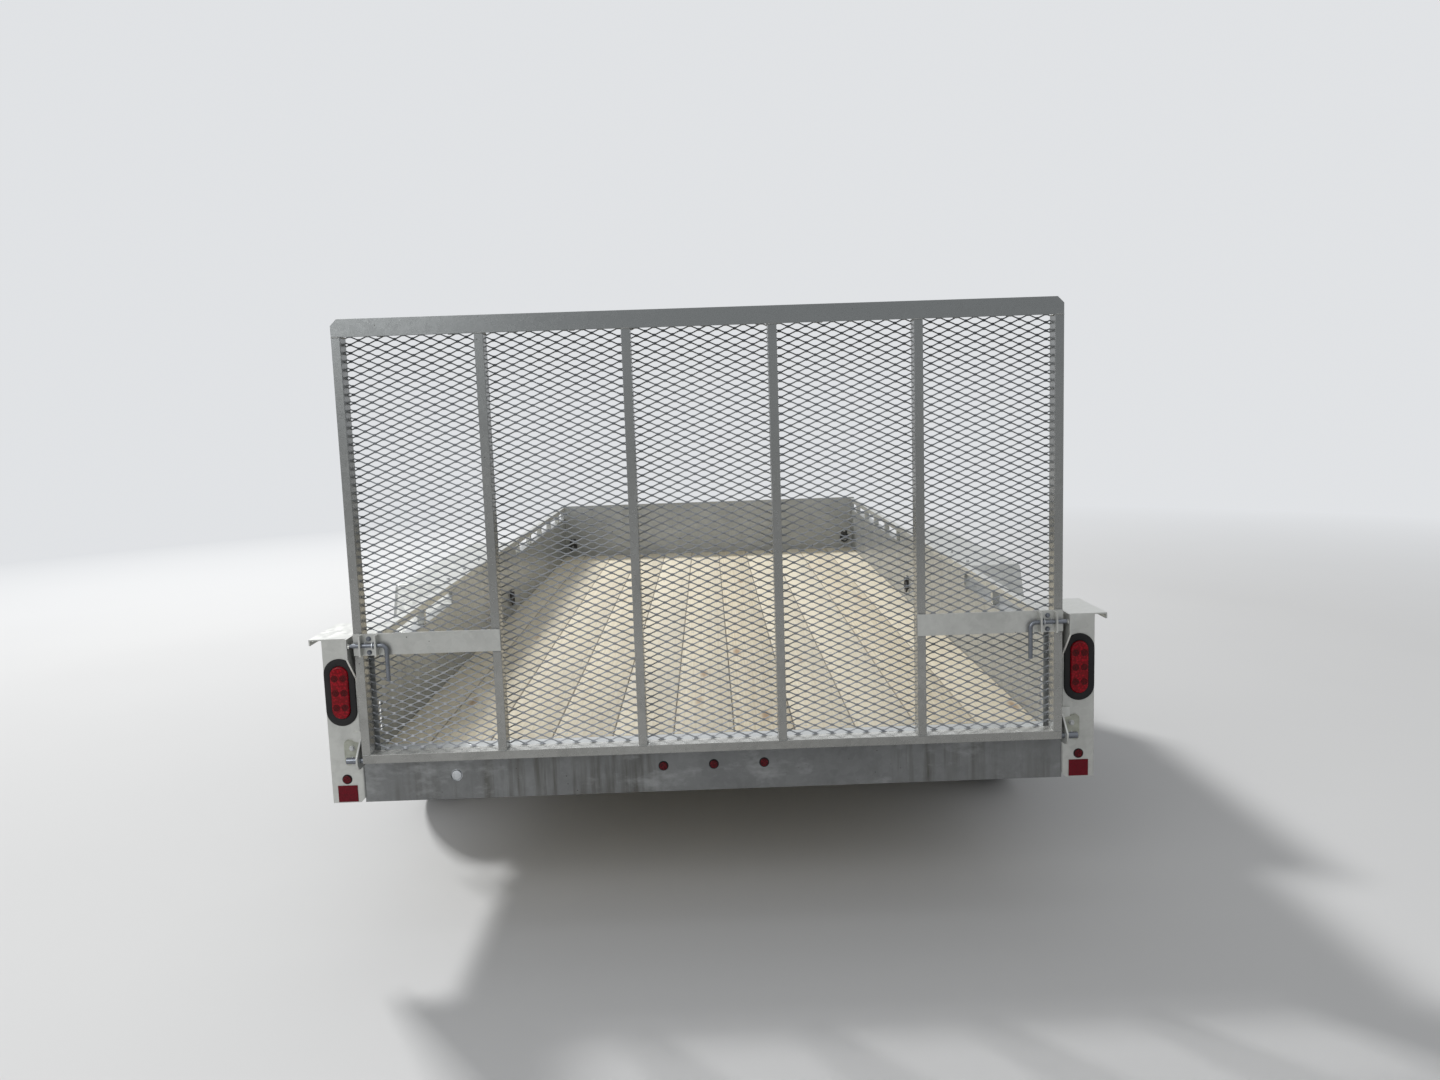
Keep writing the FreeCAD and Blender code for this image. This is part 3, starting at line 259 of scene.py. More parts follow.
def galvanised(name, base, streaks=0.0, spangle=60.0, metallic=0.6, lit_tops=1.0,
               rough=(0.27, 0.52), shaded_upper=None):
    """Hot-dip zinc: crystal spangle, cloudy patches, dross specks and run marks; where asked,
    painted shade on the upper part and a painted highlight on faces that look up.
    """
    look = Look(name, Metallic=metallic)
    dark = toned(base, 0.66)
    crystal = look.spread(look.cells(spangle), 0.0, 1.0)
    cloud = look.spread(look.noise(2.6, 4.0, 0.6), 0.34, 0.66)
    colour = look.over(base, crystal, 0.42, dark)
    colour = look.over(colour, cloud, 0.5, toned(base, 1.3))
    patch = look.spread(look.noise(9.0, 5.0, 0.68, distortion=0.6), 0.5, 0.7)
    colour = look.over(colour, patch, 0.4, dark)
    fine = look.spread(look.noise(26.0, 5.0, 0.7), 0.5, 0.78)
    colour = look.over(colour, fine, 0.3, dark)
    if streaks:
        colour = streaked(look, colour, base, streaks)
    # Painted shade: the colour passes into a darker one from 0.8 to 1.8 m up the piece.
    if shaded_upper:
        height = look.split(look.where)[2]
        colour = look.mix(look.spread(height, 0.8, 1.8), colour, shaded_upper)
    # Painted highlight: faces that look up take a paler tone of the base, standing in for light
    # falling on them.
    if lit_tops != 1.0:
        colour = look.mix(look.spread(look.upward(), 0.5, 0.9), colour, toned(base, lit_tops))
    speck = look.spread(look.cells(36.0, output="Distance"), 0.04, 0.075, 1.0, 0.0)
    apart = look.scaled(1.0, 1.0, 1.0, (3.0, 7.0, 1.0))
    rare = look.spread(look.noise(3.0, 1.0, 0.5, apart), 0.5, 0.58)
    colour = look.over(colour, speck, rare, DROSS)
    look.colour(colour)
    look.rough(look.spread(look.math("ADD", crystal, fine), 0.0, 2.0, *rough))
    look.bump(look.noise(120.0, 3.0, 0.6), 0.12, 0.0006)
    return look.material


def streaked(look, colour, base, strength):
    """Rain runs down the zinc, with pale bloom between them."""
    grime = (base[0] * 0.52, base[1] * 0.5, base[2] * 0.45)
    runs = look.noise(1.0, 4.0, 0.65, look.scaled(34.0, 34.0, 2.2))
    runs = look.math("MULTIPLY", look.spread(runs, 0.46, 0.68),
                     look.spread(look.noise(3.2, 2.0), 0.4, 0.62))
    colour = look.over(colour, runs, strength, grime)
    bloom = look.spread(look.noise(5.0, 5.0, 0.7, look.scaled(1.0, 1.0, 2.0)), 0.54, 0.7)
    return look.over(colour, bloom, strength * 0.6, toned(base, 1.9))


def plated(name, base, rough=0.3):
    """Bright zinc plate with rubbed and duller places."""
    look = Look(name, Metallic=0.85)
    rub = look.spread(look.noise(34.0, 4.0, 0.65), 0.35, 0.7)
    look.colour(look.mix(rub, base, toned(base, 0.74)))
    look.rough(look.spread(rub, 0.0, 1.0, rough, rough + 0.2))
    look.bump(look.noise(420.0, 2.0), 0.08, 0.0003)
    return look.material


def painted(name, base, rough, dust):
    """Paint with road dust that gathers in patches."""
    look = Look(name, Metallic=0.0)
    film = look.spread(look.noise(7.0, 5.0, 0.65), 0.45, 0.75)
    look.colour(look.over(base, film, dust, ROAD_DUST))
    look.rough(look.spread(film, 0.0, 1.0, rough, rough + 0.3))
    look.bump(look.noise(260.0, 3.0, 0.6), 0.1, 0.0004)
    return look.material


def deck_wood():
    """Pale sawn boards that run forwards: grain, knots, a different tone on each board, and
    painted shade along the seams.
    """
    pale, brown, ring_tone = (0.74, 0.675, 0.52), (0.58, 0.50, 0.355), (0.52, 0.41, 0.26)
    bright, grey = (0.80, 0.745, 0.61), (0.47, 0.44, 0.38)
    knot_tone, seam_shade = (0.30, 0.17, 0.08), (0.18, 0.15, 0.12)
    look = Look("deck_wood", Metallic=0.0, Specular_IOR_Level=0.25)
    x, y, z = look.split(look.where)
    counted = look.math("DIVIDE", look.math("SUBTRACT", HALF_BED * MM, x), BOARD_PITCH * MM)
    board = look.math("FLOOR", counted)
    across = look.math("FRACT", counted)
    pick = look.tree.nodes.new("ShaderNodeTexWhiteNoise")
    pick.noise_dimensions = "1D"
    look.tree.links.new(board, pick.inputs["W"])
    tone = pick.outputs["Value"]
    along = look.math("ADD", y, look.math("MULTIPLY", tone, 9.0))
    look.where = sockets(look.tree, "ShaderNodeCombineXYZ", X=x, Y=along, Z=z).outputs[0]
    warp = look.noise(1.0, 3.0, 0.5, look.scaled(5.0, 0.9, 5.0))
    grain = look.noise(1.0, 5.0, 0.62, look.scaled(95.0, 1.7, 40.0), 1.2)
    rings = sockets(look.tree, "ShaderNodeTexWave", Vector=look.scaled(1.0, 0.035, 1.0),
                    Scale=26.0, Distortion=6.0, Detail=2.0, Detail_Scale=1.2)
    rings.bands_direction = "X"
    colour = look.mix(look.spread(grain, 0.3, 0.72), pale, brown)
    colour = look.mix(look.spread(rings.outputs["Fac"], 0.2, 1.0, 0.0, 0.28), colour, ring_tone)
    colour = look.mix(look.spread(tone, 0.0, 1.0, 0.0, 0.5), colour, bright)
    weather = look.spread(look.noise(1.6, 4.0, 0.6), 0.45, 0.75, 0.0, 0.34)
    colour = look.mix(weather, colour, grey)
    knot = look.spread(look.cells(1.0, look.scaled(6.5, 1.5, 6.5), "Distance"),
                       0.055, 0.13, 1.0, 0.0)
    colour = look.over(colour, knot, 0.72, knot_tone)
    # Painted shade: each board darkens towards its edges at the seams.
    from_middle = look.math("ABSOLUTE", look.math("SUBTRACT", across, 0.5))
    colour = look.mix(look.spread(from_middle, 0.474, 0.495, 0.0, 0.5), colour, seam_shade)
    look.colour(colour)
    look.rough(look.spread(grain, 0.3, 0.7, 0.62, 0.85))
    look.bump(look.math("ADD", grain, look.math("MULTIPLY", warp, 0.4)), 0.35, 0.0012)
    return look.material


def rubber(name, base, dust=0.22):
    """Black rubber with a film of dust."""
    look = Look(name, Metallic=0.0, Specular_IOR_Level=0.22)
    film = look.spread(look.noise(9.0, 5.0, 0.7), 0.42, 0.8)
    look.colour(look.over(base, film, dust, TYRE_DUST))
    look.rough(look.spread(film, 0.0, 1.0, 0.5, 0.82))
    look.bump(look.noise(500.0, 3.0, 0.6), 0.22, 0.0004)
    return look.material


def lens(name, deep, bright, cell):
    """Clear coloured plastic over a honeycomb of small prisms."""
    look = Look(name, Metallic=0.0, Roughness=0.18, Specular_IOR_Level=0.14,
                Coat_Weight=0.1, Coat_Roughness=0.04)
    edge = look.cells(cell, output="Distance")
    look.colour(look.mix(look.spread(edge, 0.12, 0.62), bright, deep))
    look.bump(edge, 0.25, 0.0006)
    return look.material


GALVANISED = galvanised("galvanised", (0.50, 0.505, 0.48), lit_tops=1.1)
# Channel zinc: the run marks are weathering, the dark base is painted shade, and faces that look
# up get a painted highlight.
GALVANISED_CHANNEL = galvanised("galvanised_streaked_and_shaded", (0.19, 0.195, 0.195), streaks=1.0, lit_tops=3.0)
# Gate zinc: the darker base and the darker upper part are painted shade, and faces that look up
# get a painted highlight.
GALVANISED_GATE = galvanised("galvanised_gate", (0.31, 0.31, 0.295), spangle=80.0, lit_tops=2.2,
                             rough=(0.2, 0.4), shaded_upper=(0.205, 0.215, 0.215))
# Pale copy of the zinc that paints light onto faces in shade.
GALVANISED_PAINTED_LIGHT = galvanised("galvanised_painted_light", (0.74, 0.73, 0.68), metallic=0.1)
GALVANISED_WALL = galvanised("galvanised_sheet", (0.38, 0.39, 0.385), streaks=0.25, spangle=90.0)
# Mesh zinc: the dark base is painted shade on the backlit sides of the strands.
GALVANISED_MESH = galvanised("galvanised_mesh", (0.26, 0.272, 0.285), spangle=140.0, metallic=0.8)
GALVANISED_WELD = galvanised("galvanised_weld", (0.28, 0.285, 0.275), spangle=260.0)
PLATED = plated("plated_steel", (0.62, 0.64, 0.66))
BOLT = plated("plated_bolt", (0.55, 0.56, 0.56), 0.36)
FOOT = plated("plated_foot", (0.42, 0.43, 0.37), 0.45)
PIN = plated("plated_pin", (0.20, 0.215, 0.24), 0.22)
BLACK = painted("black_steel", (0.022, 0.022, 0.024), 0.42, 0.30)
CRANK = painted("crank_steel", (0.028, 0.028, 0.03), 0.36, 0.12)
WHEEL = painted("wheel_steel", (0.60, 0.61, 0.62), 0.34, 0.14)
WOOD = deck_wood()
RUBBER = rubber("lamp_rubber", (0.012, 0.012, 0.013), 0.12)
TYRE = rubber("tyre_rubber", (0.018, 0.018, 0.019))
LENS = lens("lamp_red", (0.17, 0.002, 0.006), (0.36, 0.004, 0.014), 150.0)
LENS_CORE = lens("lamp_red_core", (0.055, 0.001, 0.002), (0.15, 0.001, 0.005), 420.0)
REFLECTOR = lens("reflector_red", (0.10, 0.002, 0.007), (0.19, 0.003, 0.014), 420.0)
MARKER = lens("marker_red", (0.05, 0.002, 0.005), (0.17, 0.005, 0.010), 300.0)
AMBER = lens("lamp_amber", (0.45, 0.13, 0.008), (0.86, 0.34, 0.02), 210.0)


# Objects and meshes

def add_object(name, data):
    """A new object in the scene."""
    thing = bpy.data.objects.new(name, data)
    bpy.context.scene.collection.objects.link(thing)
    return thing


def mesh_from(name, bm):
    """A mesh with what the bmesh holds, which ends the bmesh."""
    mesh = bpy.data.meshes.new(name)
    bm.to_mesh(mesh)
    bm.free()
    return mesh


def shade(mesh, angle):
    """Smooth shading, broken at edges sharper than an angle in degrees."""
    mesh.shade_smooth()
    mesh.set_sharp_from_angle(angle=math.radians(angle))


def finish_piece(name, bm, material, body, replaces=(), smooth=32.0):
    """Turns a mesh laid out in millimetres into a named piece that rides on a body."""
    bmesh.ops.recalc_face_normals(bm, faces=bm.faces)
    for vert in bm.verts:
        vert.co = place(vert.co)
    mesh = mesh_from(name, bm)
    mesh.materials.append(material)
    shade(mesh, smooth)
    piece = add_object(name, mesh)
    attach(piece, body)
    if replaces:
        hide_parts(*replaces)


def finish_welds(name, bm, body="root"):
    """Weld beads as one piece."""
    finish_piece(name, bm, GALVANISED_WELD, body, smooth=60)


def finish_bolts(name, bm, body="root"):
    """Bolts, nuts and screws as one piece."""
    finish_piece(name, bm, BOLT, body)


def loft(bm, rings, closed=False):
    """Skin over rings of points with the same count, with end faces unless it closes on itself."""
    loops = [[bm.verts.new(p) for p in ring] for ring in rings]
    count = len(rings[0])
    pairs = list(zip(loops, loops[1:])) + ([(loops[-1], loops[0])] if closed else [])
    for a, b in pairs:
        for i in range(count):
            j = (i + 1) % count
            bm.faces.new((a[i], a[j], b[j], b[i]))
    if not closed:
        bm.faces.new(loops[0][::-1])
        bm.faces.new(loops[-1])


def frame_of(axis):
    """An axis of unit length and two directions square to it."""
    axis = Vector(axis).normalized()
    side = axis.cross(Vector(UP) if abs(axis.z) < 0.9 else Vector((0, 1, 0))).normalized()
    return axis, side, axis.cross(side).normalized()


def lathe(bm, profile, centre, axis, count, turn=0.0):
    """Rings of (distance along the axis, radius), closed at both ends."""
    least = 0.05
    axis, u, v = frame_of(axis)
    rings = []
    for d, r in profile:
        rings.append([Vector(centre) + axis * d
                      + (u * math.cos(a) + v * math.sin(a)) * max(r, least)
                      for a in around(count, turn)])
    loft(bm, rings)


def block(bm, x0, x1, y0, y1, z0, z1, round_by, segments=2):
    """A block between two corners, with its edges rounded."""
    before = set(bm.verts)
    loft(bm, [[(x0, y0, z), (x1, y0, z), (x1, y1, z), (x0, y1, z)] for z in (z0, z1)])
    made = [v for v in bm.verts if v not in before]
    edges = list({e for v in made for e in v.link_edges})
    bmesh.ops.bevel(bm, geom=edges, offset=round_by, segments=segments, affect="EDGES",
                    profile=0.5)


def pipe(bm, points, radii, count):
    """A round tube along a line of points, with a radius at each."""
    pts = [Vector(p) for p in points]
    side = frame_of(pts[1] - pts[0])[1]
    rings = []
    for i, p in enumerate(pts):
        ahead = (pts[min(i + 1, len(pts) - 1)] - pts[max(i - 1, 0)]).normalized()
        side = (side - ahead * side.dot(ahead)).normalized()
        up = ahead.cross(side)
        rings.append([p + (side * math.cos(a) + up * math.sin(a)) * radii[i]
                      for a in around(count)])
    loft(bm, rings)


def hex_head(bm, at, axis, across, height, turn=0.0):
    """A six-sided head or nut with its corners turned off."""
    r = across / math.sqrt(3)
    lathe(bm, [(0, r), (height * 0.78, r), (height, r * 0.86)], at, axis, 6, turn)
    lathe(bm, [(height * 0.9, across * 0.47), (height + 0.5, across * 0.42)], at, axis, 18)


def bolt(bm, at, axis, size, washer=True):
    """A bolt head on its washer; the size is the thread's."""
    lift = 0.0
    if washer:
        lift = size * 0.2
        lathe(bm, [(0, size * 1.05), (lift * 0.8, size * 1.05), (lift, size)], at, axis, 20)
    start = Vector(at) + Vector(axis).normalized() * lift
    hex_head(bm, start, axis, size * 1.6, size * 0.64, rng.uniform(0, 1))


def nut(bm, at, axis, size, stud):
    """A nut on its washer with the threaded end showing past it."""
    pitch = 0.75
    bolt(bm, at, axis, size)
    top = size * 0.84
    ridges = [(top - 1 + i * pitch, size * (0.5 if i % 2 else 0.44))
              for i in range(int(stud / pitch) + 2)]
    lathe(bm, ridges + [(top + stud, size * 0.36)], at, axis, 14)


def weld(bm, start, run, radius):
    """A bead of overlapping ripples from a point along a run, thinner at both ends."""
    a = Vector(start)
    b = a + Vector(run)
    steps = max(3, int((b - a).length / (radius * 0.55)))
    points, sizes = [], []
    for i in range(steps + 1):
        t = i / steps
        points.append(a.lerp(b, t) + Vector((rng.uniform(-1, 1), rng.uniform(-1, 1),
                                             rng.uniform(-1, 1))) * radius * 0.08)
        ripple = 0.86 + 0.2 * (i % 2) + rng.uniform(-0.05, 0.05)
        ends = min(1.0, 0.45 + 3.0 * min(t, 1 - t))
        sizes.append(radius * ripple * ends)
    pipe(bm, points, sizes, 8)


def softened(node, material, width, body):
    """The CAD node's own shape with its edges rounded over, standing in for it."""
    edge_angle = 40.0
    bm = bmesh.new()
    bm.from_mesh(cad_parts[node].data)
    bmesh.ops.remove_doubles(bm, verts=bm.verts, dist=0.00001)
    bmesh.ops.dissolve_limit(bm, angle_limit=math.radians(0.4), verts=bm.verts,
                             edges=bm.edges)
    mesh = mesh_from(node + "_shape", bm)
    shade(mesh, edge_angle)
    piece = add_object(node + "_shape", mesh)
    rounding = piece.modifiers.new("edges", "BEVEL")
    rounding.width = width * MM
    rounding.segments = 2
    rounding.limit_method = "ANGLE"
    rounding.angle_limit = math.radians(edge_angle)
    rounding.use_clamp_overlap = True
    rounding.harden_normals = True
    graph = bpy.context.evaluated_depsgraph_get()
    final = bpy.data.meshes.new_from_object(piece.evaluated_get(graph))
    piece.modifiers.clear()
    piece.data = final
    final.materials.clear()
    final.materials.append(material)
    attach(piece, body)
    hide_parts(node)
    return piece


# Camera, light and floor

def add_camera():
    """The photograph's view: place, turns and width of view worked out from straight edges."""
    ahead0 = Vector((math.sin(CAMERA_YAW), math.cos(CAMERA_YAW), 0))
    right0 = Vector((math.cos(CAMERA_YAW), -math.sin(CAMERA_YAW), 0))
    up0 = Vector(UP)
    ahead = ahead0 * math.cos(CAMERA_PITCH) - up0 * math.sin(CAMERA_PITCH)
    down = -(up0 * math.cos(CAMERA_PITCH) + ahead0 * math.sin(CAMERA_PITCH))
    right = right0 * math.cos(CAMERA_ROLL) + down * math.sin(CAMERA_ROLL)
    low = -right0 * math.sin(CAMERA_ROLL) + down * math.cos(CAMERA_ROLL)
    camera = bpy.data.cameras.new("camera")
    camera.sensor_width = SENSOR_WIDTH
    camera.lens = FOCAL_PIXELS / PHOTO_PIXELS * SENSOR_WIDTH
    camera.clip_end = 200.0
    camera.dof.use_dof = False
    holder = add_object("camera", camera)
    turn = Matrix((right, -low, -ahead)).transposed()
    holder.matrix_world = Matrix.Translation(place(CAMERA_AT)) @ turn.to_4x4()
    bpy.context.scene.camera = holder


def area_light(name, at, towards, size, power):
    """A square lamp that faces a point; places and size in metres."""
    lamp = bpy.data.lights.new(name, "AREA")
    lamp.shape = "RECTANGLE"
    lamp.size = size
    lamp.size_y = size
    lamp.energy = power
    holder = add_object(name, lamp)
    direction = Vector(towards) - Vector(at)
    turn = direction.to_track_quat("-Z", "Y").to_matrix().to_4x4()
    holder.matrix_world = Matrix.Translation(Vector(at)) @ turn


def add_world():
    """An even, dim sky light; the camera and reflections see the backdrop in its place."""
    world = bpy.data.worlds.new("world")
    bpy.context.scene.world = world
    world.use_nodes = True
    tree = world.node_tree
    tree.nodes.clear()
    light = sockets(tree, "ShaderNodeBackground", Strength=0.40, Color=(0.95, 0.97, 1.0, 1.0))
    seen = sockets(tree, "ShaderNodeBackground", Strength=1.0, Color=BACKDROP)
    rays = tree.nodes.new("ShaderNodeLightPath")
    either = tree.nodes.new("ShaderNodeMath")
    either.operation = "MAXIMUM"
    tree.links.new(rays.outputs["Is Camera Ray"], either.inputs[0])
    tree.links.new(rays.outputs["Is Glossy Ray"], either.inputs[1])
    blend = blended(tree, either.outputs["Value"], light.outputs[0], seen.outputs[0])
    out = tree.nodes.new("ShaderNodeOutputWorld")
    tree.links.new(blend, out.inputs["Surface"])


def add_lamps():
    """A strong lamp high in front on the left, a weak one behind and a soft one above."""
    area_light("key", (-11.0, 12.0, 15.0), (0, 0.2, 0.5), 2.8, 4350.0)
    area_light("fill", (-3.5, -7.5, 4.0), (0, -1.0, 0.8), 4.0, 120.0)
    area_light("top", (0.0, -1.0, 8.0), (0, 0, 0), 6.0, 50.0)


def add_floor():
    """A dull, plain floor that passes into the backdrop far from the trailer."""
    half_size = 60.0
    look = Look("floor", Metallic=0.0, Roughness=0.85, Specular_IOR_Level=0.1)
    look.colour(look.mix(look.noise(0.7, 2.0), (0.62, 0.62, 0.616), (0.645, 0.645, 0.64)))
    tree = look.tree
    distance = tree.nodes.new("ShaderNodeVectorMath")
    distance.operation = "LENGTH"
    tree.links.new(look.where, distance.inputs[0])
    far = look.spread(distance.outputs["Value"], 4.5, 11.0)
    rays = tree.nodes.new("ShaderNodeLightPath")
    far = look.math("MULTIPLY", far, rays.outputs["Is Camera Ray"])
    glow = sockets(tree, "ShaderNodeEmission", Color=BACKDROP)
    blend = blended(tree, far, look.shader.outputs[0], glow.outputs[0])
    tree.links.new(blend, tree.nodes["Material Output"].inputs["Surface"])
    bm = bmesh.new()
    bmesh.ops.create_grid(bm, x_segments=2, y_segments=2, size=half_size)
    mesh = mesh_from("floor", bm)
    mesh.materials.append(look.material)
    floor = add_object("floor", mesh)


# Gate

def expanded_metal():
    """The gate's sheet: zigzag strands, tilted and joined where they meet."""
    half = GATE_HALF - 6.0
    sheet_low = GATE_LOW + 6.0
    sheet_top = GATE_TOP - 38.0
    step_x, step_z = 25.4, 11.7
    width, thick, bond = 3.7, 2.1, 8.0
    tilt = math.radians(34.0)
    middle = GATE_FRONT + 1.7
    up = Vector((0, math.sin(tilt), math.cos(tilt))) * width / 2
    out = Vector((0, -math.cos(tilt), math.sin(tilt))) * thick / 2
    corners = (-up - out, up - out, up + out, -up + out)
    columns = int(half / step_x)
    verts, faces = [], []
    for k in range(int((sheet_top - sheet_low) / step_z)):
        low = sheet_low + k * step_z + width / 2
        high = sheet_low + (k + 1) * step_z - width / 2
        start = len(verts)
        for i in range(-columns, columns + 1):
            z = high if (i + k) % 2 else low
            for x in (i * step_x - bond / 2, i * step_x + bond / 2):
                centre = Vector((max(-half, min(half, x)), middle, z))
                verts.extend(place(centre + c) for c in corners)
        end = len(verts) - 4
        for a in range(start, end, 4):
            b = a + 4
            faces.extend((a + n, a + (n + 1) % 4, b + (n + 1) % 4, b + n) for n in range(4))
        faces.append((start + 3, start + 2, start + 1, start))
        faces.append((end, end + 1, end + 2, end + 3))
    mesh = bpy.data.meshes.new("gate_expanded_metal")
    mesh.from_pydata(verts, [], faces)
    mesh.materials.append(GALVANISED_MESH)
    piece = add_object("gate_expanded_metal", mesh)
    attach(piece, "gate")
    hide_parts("gate_mesh")


def gate_welds():
    """Beads where bars meet rails, where braces lie on bars, and tacks on the sheet."""
    bm = bmesh.new()
    bay = 2 * GATE_HALF / GATE_BAYS
    bars = [i * bay - GATE_HALF for i in range(1, GATE_BAYS)]
    last_bar = bars[-1]
    upright = GATE_HALF - TUBE_HALF
    through = GATE_FRONT - GATE_REAR - 4.0
    for x in bars + [-upright, upright]:
        for z in (GATE_LOW + 26.0, GATE_TOP - 50.0):
            for s in (-1, 1):
                weld(bm, (x + s * TUBE_HALF, GATE_REAR + 2, z), (0, through, 0), 2.4)
            weld(bm, (x - 12, GATE_REAR, z), (24, 0, 0), 2.2)
        for i in range(9):
            z = GATE_LOW + 70 + i * 141.0 + rng.uniform(-12, 12)
            s = 1 if i % 2 else -1
            weld(bm, (x + s * 10.5, GATE_FRONT + 1, z - 7), (0, 0, 14), 2.6)
    for s in (-1, 1):
        for z in (LATCH_Z - 31.5, LATCH_Z + 31.5):
            for x in (last_bar, upright):
                weld(bm, (s * (x - 11), GATE_REAR - 2.5, z), (s * 22, 0, 0), 2.4)
        weld(bm, (s * (last_bar - TUBE_HALF), GATE_REAR - 2, LATCH_Z - 30), (0, 0, 60), 2.4)
        for x in (967.0, 1000.0):
            weld(bm, (s * x, HINGE_Y + 0.5, GATE_LOW + 1.5), (s * 22, 0, 0), 2.6)
    for i in range(11):
        x = -900 + i * 180.0 + rng.uniform(-20, 20)
        for z in (GATE_LOW + 24.0, GATE_TOP - 46.0):
            weld(bm, (x - 9, GATE_FRONT + 1, z), (18, 0, 0), 2.6)
    finish_welds("gate_welds", bm, "gate")


def latch_fittings():
    """Bolts of the latch brackets, stops of the bent pins, and the hinge rods' ends."""
    bracket_x, bracket_face = 979.0, -71.0
    stop_x, stop = 988.0, [(-10, 1.6), (10, 1.6)]
    collar_x, collar = 966.0, [(-1.2, 10.5), (1.2, 10.5)]
    cotter_x, cotter = 1058.0, [(-12.0, 1.8), (12.0, 1.8)]
    rod_x, rod_end = 1042.0, [(0, 8.6), (1.2, 9.8), (32.6, 9.8), (34.0, 8.4)]
    bolts = bmesh.new()
    pins = bmesh.new()
    rods = bmesh.new()
    for s in (-1, 1):
        for dz in (-22.0, 18.0):
            bolt(bolts, (s * bracket_x, bracket_face, LATCH_Z + dz), BACK, 7.0)
        lathe(pins, stop, (s * stop_x, LATCH_PIN_Y, LATCH_Z), UP, 10)
        lathe(pins, collar, (s * collar_x, LATCH_PIN_Y, LATCH_Z), (1, 0, 0), 24)
        lathe(pins, cotter, (s * cotter_x, HINGE_Y, HINGE_Z), UP, 10)
        lathe(rods, rod_end, (s * rod_x, HINGE_Y, HINGE_Z), (s, 0, 0), 28)
    finish_piece("latch_bolts", bolts, PIN, "gate")
    finish_piece("latch_stops", pins, PLATED, "gate")
    finish_piece("hinge_ends", rods, PIN, "gate")


# Rear posts and channel

def hinge_foot(side, word):
    """The bolted plate of a hinge ear on its post, with rounded outer corners."""
    outer_x, outer_r = 1084.5, 12.0
    inner_x, inner_r = 1041.5, 0.3
    top, low = 590.0, 536.0
    face = -5.6
    bm = bmesh.new()
    bolt(bm, (side * 1073.0, face, 577.0), BACK, 8.0)
    finish_bolts("post_bolts_" + word, bm)
    corners = ((outer_x, top, outer_r), (inner_x, top, inner_r), (inner_x, low, inner_r),
               (outer_x, low, outer_r))
    outline = []
    for quarter, (x, z, r) in enumerate(corners):
        for i in range(5):
            a = math.radians(quarter * 90 + i * 22.5)
            outline.append((x + r * math.cos(a), z + r * math.sin(a)))
    bm = bmesh.new()
    loft(bm, [[(side * (x + shift), y, z) for x, z in outline]
              for y, shift in ((0.0, 0.3), (-5.0, 0.0), (face, 0.0))])
    finish_piece("hinge_foot_" + word, bm, FOOT, "root", smooth=50)


def post_welds(side, word):
    """Beads of a rear post: to the rear channel, cap, keeper, hinge ear and side wall."""
    bm = bmesh.new()
    for z, length in ((424, 96), (580, 60), (690, 50), (800, 50)):
        weld(bm, (side * POST_IN, -1.0, z), (0, 0, length), 2.2)
    for x in (1050.0, 1085.0, 1118.0):
        weld(bm, (side * x, 3.0, RAIL_TOP - 4.5), (side * 18, 0, 0), 2.2)
    for z in (770.0, 812.0):
        weld(bm, (side * 1038.5, -1.0, z), (0, 0, 30), 2.2)
    weld(bm, (side * 1066.0, -1.5, 856.0), (0, 0, 44), 2.2)
    weld(bm, (side * 1044.0, -4.0, 852.0), (side * 18, 0, 0), 2.0)
    weld(bm, (side * 1036.0, -2.0, 540.0), (0, 0, 64), 2.4)
    for z in (560.0, 660.0, 760.0, 850.0):
        weld(bm, (side * (HALF_BED + 1), 4.0, z), (0, 0, 34), 2.0)
    finish_welds("post_welds_" + word, bm)


def channel_plug():
    """The pale domed plug in the hole of the rear channel."""
    hole = (-770.0, 0, 481.0)
    profile = [(-7.0, 21.0), (-5.05, 21.0), (-5.0, 15.2), (-1.2, 15.2), (0.2, 14.0), (1.3, 9.0),
               (1.7, 0.0)]
    bm = bmesh.new()
    lathe(bm, profile, hole, BACK, 36)
    finish_piece("channel_plug", bm, PLATED, "root")


def lit_keeper_paint(post):
    """Painted light: a pale copy of the zinc on the shaded inner face of the latch keeper of a
    rear post.
    """
    post.data.materials.append(GALVANISED_PAINTED_LIGHT)
    low, high = (place(corner) for corner in KEEPER_BOX)
    for face in post.data.polygons:
        centre = face.center
        if (low.x < abs(centre.x) < high.x and low.y < centre.y < high.y
                and low.z < centre.z < high.z):
            face.material_index = 1


def lit_jamb_sheet(side, word):
    """A pale sheet on the folded edge that closes a side wall behind its rear post: painted light
    on a face that lies in shade.
    """
    x0, x1 = sorted((side * (HALF_BED + 0.6), side * (POST_IN - 0.6)))
    rear, front = 11.1, 12.0
    bm = bmesh.new()
    block(bm, x0, x1, rear, front, DECK_TOP + 1.0, RAIL_LOW - 1.0, 0.3, 1)
    finish_piece("lit_jamb_sheet_" + word, bm, GALVANISED_PAINTED_LIGHT, "root", smooth=50)


